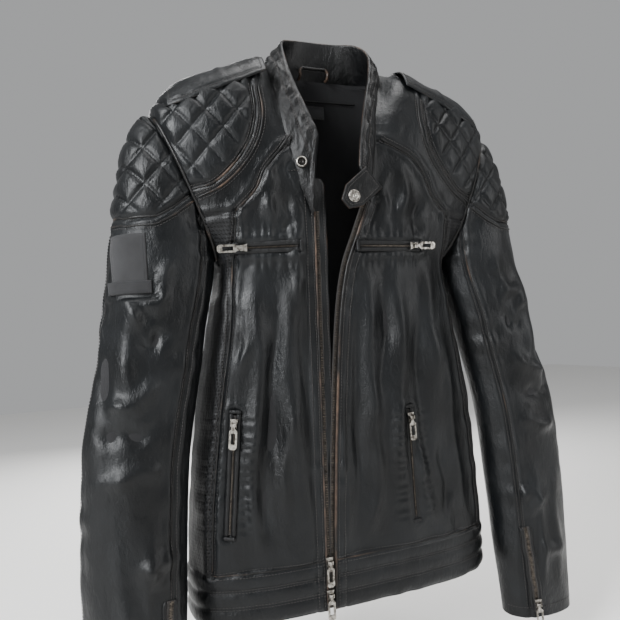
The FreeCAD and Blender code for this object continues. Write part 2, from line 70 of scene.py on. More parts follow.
# level, x of the middle, half width, half depth, y of the middle
SLEEVE = np.array([
    (-93, 216, 18, 16, -26), (-110, 209, 33, 30, -25), (-140, 206, 47, 41, -24), (-200, 207, 57, 47, -24),
    (-262, 213, 59, 45, -28), (-350, 231, 58, 41, -36), (-480, 253, 56, 38, -44), (-620, 260, 54, 36, -48),
    (-735, 262, 50, 33, -50)], float)
TIP, UNDERARM = (222, -88), (151, -262)     # the armhole's ends, as x and z
# edges between panels on the wearer's left, as x and z
QUILT_EDGE = [(114, 40), (112, -60), (111, -92), (118, -122), (135, -150), (160, -174), (240, -190)]
QUILT_FIELD = QUILT_EDGE + [(240, 40)]
YOKE_EDGE = [(0, -112), (53, -120), (85, -136), (104, -158), (115, -182), (138, -206), (240, -222)]
GUSSET_EDGE = [(138, -206), (139, -262), (146, -340), (160, -420), (172, -520), (178, -612)]
FLAP_EDGE = [(90, -42), (122, -57), (186, -84), (205, -88)]
CAP_EDGE = [(150, -172), (185, -186), (205, -201), (225, -212), (250, -212), (280, -204)]
# the free front edges, as z and x
RIGHT_FRONT = np.array([(-10, -81), (-20, -81), (-90, -79), (-122, -75), (-160, -66), (-206, -46),
                        (-668, -50)], float)
LEFT_FRONT = np.array([(-10, 79), (-20, 76), (-70, 46), (-122, 38), (-158, 31), (-192, 24), (-235, 6),
                       (-274, -9), (-330, -19), (-430, -28), (-560, -36), (-668, -40)], float)
# where the collar's lower edge meets the fronts
NECK_SEAM_RIGHT = np.array([(-76, -32, -9), (-77, -32, -16), (-77, -54, -50), (-75, -75, -88),
                            (-71, -86, -122), (-62, -91, -162), (-49, -93, -200)], float)
NECK_SEAM_LEFT = np.array([(75, -31, -9), (74, -34, -16), (57, -62, -52), (43, -80, -86), (35, -90, -122),
                           (28, -94, -156), (22, -95, -200)], float)


def smooth_table(table, level):
    """Rows of a table at any levels, along a smooth curve; the table's first column falls."""
    table = table[::-1]
    levels, values = table[:, 0], table[:, 1:]
    slopes = np.gradient(values, levels, axis=0)
    level = np.clip(level, levels[0], levels[-1])
    k = np.clip(np.searchsorted(levels, level) - 1, 0, len(levels) - 2)
    span = levels[k + 1] - levels[k]
    t = ((level - levels[k]) / span)[..., None]
    low, high = values[k], values[k + 1]
    m0, m1 = slopes[k] * span[..., None] * 0.8, slopes[k + 1] * span[..., None] * 0.8
    return ((2 * t**3 - 3 * t**2 + 1) * low + (t**3 - 2 * t**2 + t) * m0
            + (3 * t**2 - 2 * t**3) * high + (t**3 - t**2) * m1)


def at_level(level, levels, values):
    """A value at a level, between table rows whose levels fall."""
    return np.interp(-np.asarray(level), -np.asarray(levels), values)


def edge_level(edge, x):
    """The level of an edge of the front view, over each x."""
    return np.interp(x, *np.transpose(edge))


def crown(part, roundness):
    """How far a rounded section stands out at a part of its half width."""
    return (1 - part ** roundness) ** (1 / roundness)


def section(turn, half, deep, roundness):
    """Places round a rounded section, about its own middle."""
    c, s = np.cos(turn), np.sin(turn)
    return (np.sign(c) * half * np.abs(c) ** (2 / roundness),
            np.sign(s) * deep * np.abs(s) ** (2 / roundness))


def torso_row_at(level):
    return smooth_table(TORSO, np.atleast_1d(np.asarray(level, float)))


def armhole_x(level):
    return TIP[0] + (UNDERARM[0] - TIP[0]) * (TIP[1] - np.asarray(level, float)) / (TIP[1] - UNDERARM[1])


def front_y(x, z, back=False):
    """Depth of the torso's face at places of the front view."""
    half, deep, middle = torso_row_at(z).T
    bulge = deep * crown(np.clip(np.abs(x) / half, 0, 1), ROUNDNESS)
    return middle + bulge if back else middle - bulge


# ---------------------------------------------------------------- small tools
def unit(vectors):
    return vectors / np.maximum(np.linalg.norm(vectors, axis=-1, keepdims=True), 1e-9)


def bell(distance, width):
    """A smooth bump, 1 in its middle and near 0 two widths away."""
    return np.exp(-(distance / width) ** 2)


def outward_only(normals, measure):
    """The normals, flipped where the measure says that they point inward."""
    return -normals if np.mean(measure) < 0 else normals


def lattice_noise(points, seed):
    """Smooth noise from -1 to 1 at each point."""
    base = np.floor(points)
    part = points - base
    part = part * part * (3 - 2 * part)
    total = 0
    for corner in range(8):
        offset = np.array([corner & 1, corner >> 1 & 1, corner >> 2 & 1], float)
        key = (base + offset) @ np.array([127.1, 311.7, 74.7]) + seed * 17.3
        value = np.modf(np.sin(key) * 43758.5453)[0]
        weight = np.prod(np.where(offset == 1, part, 1 - part), axis=-1)
        total = total + value * weight
    return total


def ridged(points, seed):
    """Noise with sharp ridges, like creased leather, near 0 to 1."""
    total, size = 0, 1.0
    for octave in range(3):
        total = total + size * (1 - np.abs(lattice_noise(points * 2**octave, seed + octave)) * 2.2)
        size *= 0.5
    return total / 1.75


def edge_distance(x, z, line):
    """Distance from each place of the front view to a polyline, and the length along it."""
    best = np.full(np.shape(x), 1e9)
    along = np.zeros(np.shape(x))
    run = 0.0
    for (ax, az), (bx, bz) in zip(line[:-1], line[1:]):
        dx, dz = bx - ax, bz - az
        length = math.hypot(dx, dz)
        t = np.clip(((x - ax) * dx + (z - az) * dz) / length**2, 0, 1)
        gap = np.hypot(x - ax - t * dx, z - az - t * dz)
        nearer = gap < best
        best = np.where(nearer, gap, best)
        along = np.where(nearer, run + t * length, along)
        run += length
    return best, along


def inside(x, z, outline):
    crossed = np.zeros(np.shape(x), bool)
    for (ax, az), (bx, bz) in zip(outline, outline[1:] + outline[:1]):
        if az == bz:
            continue
        spans = (z > min(az, bz)) & (z <= max(az, bz))
        crossed ^= spans & (x < ax + (z - az) * (bx - ax) / (bz - az))
    return crossed


def run_along(points):
    """Length along each line of points, from its start."""
    steps = np.linalg.norm(np.diff(points, axis=-2), axis=-1)
    return np.concatenate([np.zeros(steps.shape[:-1] + (1,)), np.cumsum(steps, axis=-1)], axis=-1)


def resample(points, count):
    """The same line with evenly spaced points."""
    run = run_along(points)
    wanted = np.linspace(0, run[-1], count)
    return np.stack([np.interp(wanted, run, points[:, k]) for k in range(points.shape[1])], axis=1)


def paired(points, count):
    """A smooth line (Catmull-Rom) whose points keep pace with the given ones."""
    points = np.asarray(points, float)
    padded = np.vstack([2 * points[0] - points[1], points, 2 * points[-1] - points[-2]])
    place = np.linspace(0, len(points) - 1, count)
    k = np.clip(place.astype(int), 0, len(points) - 2)
    t = (place - k)[:, None]
    a, b, c, d = padded[k], padded[k + 1], padded[k + 2], padded[k + 3]
    return 0.5 * (2 * b + (c - a) * t + (2 * a - 5 * b + 4 * c - d) * t**2
                  + (3 * b - a - 3 * c + d) * t**3)


def curve_through(points, count):
    """A smooth line through the points, evenly spaced."""
    return resample(paired(points, 24 * (len(points) - 1) + 1), count)


def grid_normals(points):
    return unit(np.cross(np.gradient(points, axis=1), np.gradient(points, axis=0)))


def mesh_piece(name, verts, faces, finish, body, nodes=(), slot="black_leather", wear=None,
               normals=None, flat=None, smooth=True):
    """A mesh object from points in millimetres, attached to its body; the CAD nodes that it replaces are
    hidden.
    """
    data = bpy.data.meshes.new(name)
    verts = np.asarray(verts, float) * MM
    faces = np.asarray(faces)
    a, b, c = (verts[faces[:, k]] for k in range(3))
    outward = a - verts.mean(axis=0) if normals is None else np.asarray(normals)[faces[:, 0]]
    if (np.cross(b - a, c - a) * outward).sum() < 0:
        faces = faces[:, ::-1]
    data.vertices.add(len(verts))
    data.vertices.foreach_set("co", verts.ravel())
    width = faces.shape[1]
    data.loops.add(faces.size)
    data.loops.foreach_set("vertex_index", faces.ravel().astype(np.int32))
    data.polygons.add(len(faces))
    data.polygons.foreach_set("loop_start", np.arange(0, faces.size, width, dtype=np.int32))
    data.polygons.foreach_set("loop_total", np.full(len(faces), width, dtype=np.int32))
    data.update(calc_edges=True)
    data.validate()
    data.polygons.foreach_set("use_smooth", np.full(len(data.polygons), smooth))
    if wear is not None:
        worn = data.attributes.new("wear", "FLOAT", "POINT")
        worn.data.foreach_set("value", np.asarray(wear, np.float32))
    if flat is not None:
        layer = data.uv_layers.new(name="flat")
        layer.data.foreach_set("uv", (np.asarray(flat)[faces.ravel()] * MM).astype(np.float32).ravel())
    if normals is not None:
        data.normals_split_custom_set_from_vertices([tuple(n) for n in normals])
    obj = bpy.data.objects.new(name, data)
    bpy.context.scene.collection.objects.link(obj)
    data.materials.append(finish)
    if nodes:
        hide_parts(*nodes)
    if body:
        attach(obj, body)
    return obj


def grid_faces(rows, columns):
    index = np.arange(rows * columns).reshape(rows, columns)
    return np.stack([index[:-1, :-1], index[:-1, 1:], index[1:, 1:], index[1:, :-1]], axis=-1)


def grid_piece(name, points, mask, finish, body, nodes=(), wear=None, flat=None, normals=None,
               slot="black_leather"):
    """The part of a surface grid whose faces the mask picks."""
    rows, columns = points.shape[:2]
    faces = grid_faces(rows, columns)[mask]
    used, faces = np.unique(faces, return_inverse=True)
    faces = faces.reshape(-1, 4)
    if normals is None:
        normals = grid_normals(points)
    if wear is not None:
        wear = wear.ravel()[used]
    if flat is not None:
        flat = flat.reshape(-1, 2)[used]
    return mesh_piece(name, points.reshape(-1, 3)[used], faces, finish, body, nodes, slot, wear,
                      normals.reshape(-1, 3)[used], flat)


def whole_grid(points):
    return np.ones((points.shape[0] - 1, points.shape[1] - 1), bool)


def sheet_piece(name, grid, finish, body, nodes=(), slot="black_leather", wear=None):
    """A mesh object from a whole grid of points."""
    faces = grid_faces(*grid.shape[:2]).reshape(-1, 4)
    if wear is not None:
        wear = wear.ravel()
    return mesh_piece(name, grid.reshape(-1, 3), faces, finish, body, nodes, slot, wear)


def tube(points, radius, sides=8, squash=(1, 1), up=(0, -1.0, 0.02)):
    """Points and faces of a tube along a line, its end rings narrowed to 0.3 of the radius."""
    points = np.asarray(points, float)
    ahead = unit(np.gradient(points, axis=0))
    across = unit(np.cross(ahead, up))
    out = np.cross(across, ahead)
    turn = np.linspace(0, 2 * math.pi, sides, endpoint=False)
    radii = np.broadcast_to(np.asarray(radius, float), (len(points),)).copy()
    radii[0] *= 0.3
    radii[-1] *= 0.3
    ring = (across[:, None] * (np.cos(turn) * squash[0])[None, :, None]
            + out[:, None] * (np.sin(turn) * squash[1])[None, :, None]) * radii[:, None, None]
    verts = (points[:, None] + ring).reshape(-1, 3)
    index = np.arange(len(points) * sides).reshape(len(points), sides)
    nxt = np.roll(index, -1, axis=1)
    faces = np.stack([index[:-1], nxt[:-1], nxt[1:], index[1:]], axis=-1).reshape(-1, 4)
    return verts, faces


def rubbed(verts, level, spread, size, seed):
    """Patchy wear at each point, from 0 to 1."""
    return np.clip(level + spread * lattice_noise(verts / size, seed), 0, 1)


def merged(parts):
    verts, faces, start = [], [], 0
    for v, f in parts:
        verts.append(v)
        faces.append(f + start)
        start += len(v)
    return np.vstack(verts), np.vstack(faces)


# ---------------------------------------------------------------- materials
def material(name):
    made = bpy.data.materials.new(name)
    made.use_nodes = True
    tree = made.node_tree
    return made, tree, tree.nodes["Principled BSDF"]


def link(tree, a, out, b, into):
    tree.links.new(a.outputs[out], b.inputs[into])


def noise_node(tree, coord, scale, detail=3, stretch=(1, 1, 1), rough=0.5):
    mapping = tree.nodes.new("ShaderNodeMapping")
    mapping.inputs["Scale"].default_value = stretch
    tree.links.new(coord, mapping.inputs["Vector"])
    made = tree.nodes.new("ShaderNodeTexNoise")
    made.inputs["Scale"].default_value = scale
    made.inputs["Detail"].default_value = detail
    made.inputs["Roughness"].default_value = rough
    link(tree, mapping, "Vector", made, "Vector")
    return made


def ramp(tree, source, stops):
    made = tree.nodes.new("ShaderNodeValToRGB")
    for element, (place, colour) in zip(made.color_ramp.elements, stops):
        element.position, element.color = place, (*colour, 1)
    tree.links.new(source, made.inputs["Fac"])
    return made


def colour_mix(tree, under, over):
    """A node that mixes two colours, and its colour output."""
    made = tree.nodes.new("ShaderNodeMix")
    made.data_type = "RGBA"
    tree.links.new(under, made.inputs[6])
    tree.links.new(over, made.inputs[7])
    return made, made.outputs[2]


def math_node(tree, operation, a, b=None):
    made = tree.nodes.new("ShaderNodeMath")
    made.operation = operation
    for k, value in enumerate((a, b)):
        if value is None:
            continue
        if isinstance(value, (int, float)):
            made.inputs[k].default_value = value
        else:
            tree.links.new(value, made.inputs[k])
    return made.outputs[0]


def bump(tree, height, distance, strength, before=None):
    made = tree.nodes.new("ShaderNodeBump")
    made.inputs["Distance"].default_value = distance
    made.inputs["Strength"].default_value = strength
    tree.links.new(height, made.inputs["Height"])
    if before is not None:
        tree.links.new(before, made.inputs["Normal"])
    return made.outputs["Normal"]


HOLES_PER_METRE = 250


def leather(name, dark, light, rough, perforated=False, grain=1.0):
    """Grained leather that shows brown where the "wear" of the surface is high."""
    made, tree, shader = material(name)
    coord = tree.nodes.new("ShaderNodeTexCoord").outputs["Object"]
    cloudy = noise_node(tree, coord, 14, 4)
    colour = ramp(tree, cloudy.outputs["Fac"], [(0.35, dark), (0.7, light)])
    pores = tree.nodes.new("ShaderNodeTexVoronoi")
    pores.feature = "DISTANCE_TO_EDGE"
    pores.inputs["Scale"].default_value = 620
    tree.links.new(coord, pores.inputs["Vector"])
    cells = math_node(tree, "MINIMUM", pores.outputs["Distance"], 0.22)
    creases = noise_node(tree, coord, 60, 4, (1, 1, 0.45), 0.6)
    crease = math_node(tree, "ABSOLUTE", math_node(tree, "SUBTRACT", creases.outputs["Fac"], 0.5))
    crinkle = noise_node(tree, coord, 42, 5, (1, 1, 0.6), 0.6)
    fine = noise_node(tree, coord, 900, 2)
    normal = bump(tree, cells, 0.0011 * grain, 0.35)
    normal = bump(tree, math_node(tree, "MINIMUM", crease, 0.09), 0.006 * grain, 0.45, normal)
    normal = bump(tree, crinkle.outputs["Fac"], 0.004 * grain, 0.4, normal)
    normal = bump(tree, fine.outputs["Fac"], 0.0003, 0.3, normal)
    patchy = noise_node(tree, coord, 55, 5, (1, 1, 0.6), 0.65)
    rub = tree.nodes.new("ShaderNodeAttribute")
    rub.attribute_name = "wear"
    worn = math_node(tree, "ADD", patchy.outputs["Fac"], 0.15)
    worn = math_node(tree, "MULTIPLY", rub.outputs["Fac"], worn)
    worn = ramp(tree, worn, [(0.38, (0, 0, 0)), (0.66, (1, 1, 1))])
    brown = ramp(tree, patchy.outputs["Fac"], [(0.38, (0.015, 0.0095, 0.007)), (0.7, (0.092, 0.06, 0.042))])
    mix, final = colour_mix(tree, colour.outputs["Color"], brown.outputs["Color"])
    link(tree, worn, "Color", mix, "Factor")
    if perforated:
        holes = tree.nodes.new("ShaderNodeTexCoord").outputs["UV"]
        scaled = tree.nodes.new("ShaderNodeVectorMath")
        scaled.operation = "MULTIPLY"
        scaled.inputs[1].default_value = (HOLES_PER_METRE, HOLES_PER_METRE, 1)
        tree.links.new(holes, scaled.inputs[0])
        split = tree.nodes.new("ShaderNodeSeparateXYZ")
        tree.links.new(scaled.outputs["Vector"], split.inputs[0])
        # holes stand in rows, every second row moved on by half a hole
        row = math_node(tree, "FLOOR", split.outputs["Y"])
        shift = math_node(tree, "MULTIPLY", math_node(tree, "MODULO", row, 2.0), 0.5)
        moved = math_node(tree, "ADD", split.outputs["X"], shift)
        u = math_node(tree, "SUBTRACT", math_node(tree, "FRACT", moved), 0.5)
        v = math_node(tree, "SUBTRACT", math_node(tree, "FRACT", split.outputs["Y"]), 0.5)
        gap = math_node(tree, "SQRT", math_node(tree, "ADD", math_node(tree, "MULTIPLY", u, u),
                                                math_node(tree, "MULTIPLY", v, v)))
        hole = ramp(tree, gap, [(0.22, (0.0, 0.0, 0.0)), (0.3, (1, 1, 1))])
        darken, final = colour_mix(tree, final, hole.outputs["Color"])
        darken.blend_type = "MULTIPLY"
        darken.inputs[0].default_value = 1
        normal = bump(tree, hole.outputs["Color"], 0.001, 0.9, normal)
    tree.links.new(final, shader.inputs["Base Color"])
    spread = noise_node(tree, coord, 32, 4)
    level = ramp(tree, spread.outputs["Fac"], [(0.3, (rough[0],) * 3), (0.72, (rough[1],) * 3)])
    link(tree, level, "Color", shader, "Roughness")
    tree.links.new(normal, shader.inputs["Normal"])
    shader.inputs["Specular IOR Level"].default_value = 0.22
    shader.inputs["Coat Weight"].default_value = 0.08
    shader.inputs["Coat Roughness"].default_value = 0.32
    return made


def cloth_material(name, dark, light, weave, sheen):
    made, tree, shader = material(name)
    coord = tree.nodes.new("ShaderNodeTexCoord").outputs["Object"]
    waves = []
    for direction in ("X", "Z"):
        wave = tree.nodes.new("ShaderNodeTexWave")
        wave.bands_direction = direction
        wave.inputs["Scale"].default_value = weave / 3.1
        wave.inputs["Distortion"].default_value = 0.6
        tree.links.new(coord, wave.inputs["Vector"])
        waves.append(wave.outputs["Fac"])
    threads = math_node(tree, "MAXIMUM", *waves)
    cloudy = noise_node(tree, coord, 40, 4)
    tone = math_node(tree, "MULTIPLY", threads, cloudy.outputs["Fac"])
    colour = ramp(tree, tone, [(0.1, dark), (0.6, light)])
    link(tree, colour, "Color", shader, "Base Color")
    shader.inputs["Roughness"].default_value = 0.85
    shader.inputs["Sheen Weight"].default_value = sheen
    tree.links.new(bump(tree, threads, 0.0006, 0.6), shader.inputs["Normal"])
    return made


def metal_material(name, colour, dirt_and_shade):
    made, tree, shader = material(name)
    coord = tree.nodes.new("ShaderNodeTexCoord").outputs["Object"]
    spots = noise_node(tree, coord, 220, 5, rough=0.65)
    # the darker tone shows in spots: dirt on the nickel and the teeth; on the snap's well both tones are
    # painted shade
    tone = ramp(tree, spots.outputs["Fac"], [(0.38, dirt_and_shade), (0.6, colour)])
    link(tree, tone, "Color", shader, "Base Color")
    shader.inputs["Metallic"].default_value = 1.0
    level = ramp(tree, spots.outputs["Fac"], [(0.35, (0.5,) * 3), (0.7, (0.24,) * 3)])
    link(tree, level, "Color", shader, "Roughness")
    tree.links.new(bump(tree, spots.outputs["Fac"], 0.0004, 0.4), shader.inputs["Normal"])
    return made


LEATHER = leather("black_leather", (0.0016, 0.0019, 0.0022), (0.0062, 0.0071, 0.008), (0.29, 0.5))
COLLAR_LEATHER = leather("collar_leather", (0.0016, 0.0017, 0.0019), (0.0062, 0.0064, 0.0067), (0.34, 0.54),
                         grain=1.5)
PERFORATED = leather("perforated_leather", (0.004, 0.004, 0.0045), (0.011, 0.0115, 0.0125), (0.45, 0.62),
                     perforated=True)
PIPING = leather("piping_leather", (0.004, 0.004, 0.004), (0.012, 0.0115, 0.011), (0.3, 0.46))
LINING = cloth_material("lining_fabric", (0.0015, 0.0015, 0.002), (0.007, 0.007, 0.0085), 1400, 0.03)
LABEL = cloth_material("label_fabric", (0.003, 0.003, 0.0035), (0.018, 0.018, 0.02), 2200, 0.04)
PATCH = cloth_material("patch_fabric", (0.003, 0.003, 0.0035), (0.024, 0.024, 0.026), 1100, 0.08)
TAPE = cloth_material("zip_tape", (0.005, 0.0045, 0.0045), (0.024, 0.019, 0.016), 1700, 0.15)
THREAD = cloth_material("thread", (0.008, 0.007, 0.007), (0.035, 0.03, 0.027), 2600, 0.1)
NICKEL = metal_material("nickel", (0.46, 0.44, 0.40), (0.09, 0.08, 0.07))
TEETH = metal_material("zip_teeth", (0.11, 0.095, 0.08), (0.03, 0.026, 0.022))
# painted shade: the snap socket's recessed well gets a dark metal colour that stands for the shade inside it
WELL_SHADE_METAL = metal_material("snap_well_painted_shade", (0.035, 0.033, 0.031), (0.01, 0.009, 0.008))

# ---------------------------------------------------------------- torso surface
SHOULDER_Z = -96                            # the rows stand closer above this level
levels = np.concatenate([np.arange(TOP_Z, SHOULDER_Z, -STEP * 0.55),
                         np.arange(SHOULDER_Z, HEM_Z, -STEP), [HEM_Z]])
COLUMNS = int(1010 / STEP)
# how a free edge turns under: steps ahead and down
ROLL = [(0.5, 0.6), (0.2, 2.2), (-1.0, 3.4), (-5, 3.6), (-10, 3.4)]


def section_line(level, count):
    """The torso's section from the wearer's right front edge round the back to the left front edge."""
    half, deep, middle = torso_row_at(level)[0]
    turn = np.linspace(-math.pi / 2, 1.5 * math.pi, 2400)
    x, y = section(turn, half, deep, ROUNDNESS)
    x, y = -x, middle + y
    if level > UNDERARM[1]:
        limit = armhole_x(level) - ARMHOLE_GAP
        x = np.clip(x, -limit, limit)
    start, end = (at_level(level, *edge.T) for edge in (RIGHT_FRONT, LEFT_FRONT))
    start_y, end_y = front_y(start, level)[0], front_y(end, level)[0]
    margin = 0.0
    if level > NECK_Z:
        start, start_y = (at_level(level, NECK_SEAM_RIGHT[:, 2], NECK_SEAM_RIGHT[:, k]) for k in (0, 1))
        end, end_y = (at_level(level, NECK_SEAM_LEFT[:, 2], NECK_SEAM_LEFT[:, k]) for k in (0, 1))
        margin = 16 * min(max((level - YOKE_Z) / 60, 0), 1)
    front = np.sin(turn) < 0
    first = front & (turn < 0) & (x < start - margin)
    last = front & (turn > 0) & (x > end + margin)
    keep = ~front | first | last
    return resample(np.vstack([(start, start_y), np.stack([x, y], 1)[keep], (end, end_y)]), count)


surface = np.array([np.column_stack([section_line(level, COLUMNS), np.full(COLUMNS, level)])
                    for level in levels])
# the yoke runs smoothly down to the collar's seam
near_neck = levels > -172
for edge in (slice(0, 30), slice(-30, None)):
    zone = surface[near_neck, edge]
    for _ in range(60):
        zone[:, 1:-1, :2] = (zone[:, :-2, :2] + 2 * zone[:, 1:-1, :2] + zone[:, 2:, :2]) / 4
        zone[1:-1, 1:-1, 1] = (zone[:-2, 1:-1, 1] + 2 * zone[1:-1, 1:-1, 1] + zone[2:, 1:-1, 1]) / 4
    surface[near_neck, edge] = zone
arc = run_along(surface)
arc -= arc[:, -1:] / 2
flat_torso = np.stack([arc, surface[..., 2]], axis=-1)
X, Y, Z = np.moveaxis(surface, -1, 0)
BACK = Y > torso_row_at(levels)[:, 2][:, None]
AX = np.abs(X)


def seam_form(distance, along, width=2.2, groove=1.6, puff=1.3, pucker=0.0, seed=0):
    """A sewn seam: a groove, a puffed edge on each side, and short puckers square to it."""
    form = -groove * bell(distance, width) + puff * bell(distance - 6.5, 4.0)
    if pucker:
        waves = np.sin(along / 9.0 + 2.2 * np.sin(along / 31.0 + seed)) * np.sin(along / 23.0 + seed * 2)
        form = form + pucker * waves * bell(distance - 9, 12.0) * (distance > 1.5)
    return form


# folds: x and z at the top, x and z at the foot, half width, height
FOLDS_FRONT = [
    (-118, -258, -128, -560, 9, 3.6), (-98, -265, -104, -520, 7, -2.6), (-82, -255, -78, -590, 11, 3.4),
    (-62, -300, -62, -600, 6, -2.2), (-92, -150, -108, -236, 8, 3.2), (-74, -175, -86, -240, 6, -2.0),
    (-128, -300, -142, -420, 7, 2.8), (-108, -380, -120, -600, 8, -2.6), (-88, -420, -96, -605, 7, 2.6),
    (-66, -215, -70, -330, 7, 2.4), (-134, -470, -128, -606, 8, 2.8),
    (24, -262, 8, -520, 9, 3.4), (42, -258, 34, -440, 8, -2.8), (58, -262, 52, -600, 10, 3.6),
    (84, -262, 96, -560, 9, -2.6), (104, -256, 118, -470, 10, 3.2), (122, -300, 142, -600, 8, 2.8),
    (6, -320, -12, -600, 7, -2.4), (24, -440, 12, -606, 8, 2.8), (66, -140, 74, -238, 9, 3.0),
    (86, -180, 96, -240, 7, -2.2), (48, -150, 46, -232, 7, 2.4), (86, -480, 92, -606, 9, 2.8),
    (-20, -400, -26, -600, 5, 1.6), (112, -480, 120, -600, 7, -2.4)]
FOLDS_BACK = [
    (-120, -190, -96, -560, 13, 4.2), (-70, -175, -60, -600, 12, -3.0), (-28, -170, -18, -420, 14, 3.6),
    (26, -172, 20, -560, 12, -3.2), (74, -175, 62, -600, 13, 4.0), (118, -200, 110, -520, 11, 3.4),
    (0, -380, 6, -606, 12, 3.0), (-100, -420, -110, -606, 10, 3.0), (96, -420, 104, -606, 11, -3.0),
    (-60, -60, -110, -150, 12, 2.8), (62, -60, 112, -150, 12, 2.8), (0, -40, 0, -150, 16, 2.0),
    (-140, -300, -90, -330, 10, 2.6), (142, -300, 90, -335, 10, 2.6), (-46, -500, -44, -606, 8, 2.2)]


def fold_form(x, z, folds, seed):
    """Long wandering folds that fade at both ends."""
    total = np.zeros(x.shape)
    for k, (x0, z0, x1, z1, width, height) in enumerate(folds):
        length = math.hypot(x1 - x0, z1 - z0)
        dx, dz = (x1 - x0) / length, (z1 - z0) / length
        t = ((x - x0) * dx + (z - z0) * dz) / length
        wander = 4.0 * np.sin(t * 5.1 + k) + 2.0 * np.sin(t * 11.3 + 2 * k + seed)
        side = (x - x0) * dz - (z - z0) * dx + wander
        ends = np.clip(1.25 - np.abs(2 * t - 1) * 1.1, 0, 1)
        ends = ends * ends * (3 - 2 * ends)
        total += 1.7 * height * bell(side, width) * ends * (0.7 + 0.6 * np.sin(t * 7 + k * 1.7) ** 2)
    return total


def crumple(points, size, height, seed, stretch=(1, 1, 1)):
    """Fine creases over a soft rolling surface."""
    place = points / size / np.asarray(stretch)
    bend = lattice_noise(place * 0.7, seed + 50)[..., None] * 0.5
    return height * (ridged(place + bend, seed) - 0.45)


def pocket_line(start, end, clear):
    """The ends of a pocket zip's straight line, clear of the fullest part of its panel."""
    a, b = (np.array([x, front_y(x, z)[0], z]) for x, z in (start, end))
    bulge = 0
    for t in np.linspace(0.1, 0.9, 9):
        x, y, z = a + (b - a) * t
        bulge = max(bulge, y - front_y(x, z)[0])
    return a + FORWARD * (bulge + clear), b + FORWARD * (bulge + clear)


# each pocket zip's ends, as x and z, and how far it stands off its panel
POCKETS = {"chest_zip_right": ((-140, -247), (-70, -247), 1.6),
           "chest_zip_left": ((92, -247), (10, -247), 1.6),
           "hand_zip_right": ((-148, -434), (-160, -566), 4.2),
           "hand_zip_left": ((67, -447), (72, -580), 1.6)}
QUILT_CELL = 34.0


def quilt_form(u, v):
    """Diamond cells: soft pillows between crossing lines of stitching."""
    p = (u + v * 0.82) / QUILT_CELL * math.pi
    q = (u - v * 0.82) / QUILT_CELL * math.pi
    return 4.6 * (1 - np.exp(-np.minimum(np.abs(np.sin(p)), np.abs(np.sin(q))) * 2.6))


def in_gusset_at(x, z):
    edge_x, edge_z = np.transpose(GUSSET_EDGE)
    return (x > at_level(z, edge_z, edge_x)) & (z < edge_z[0])


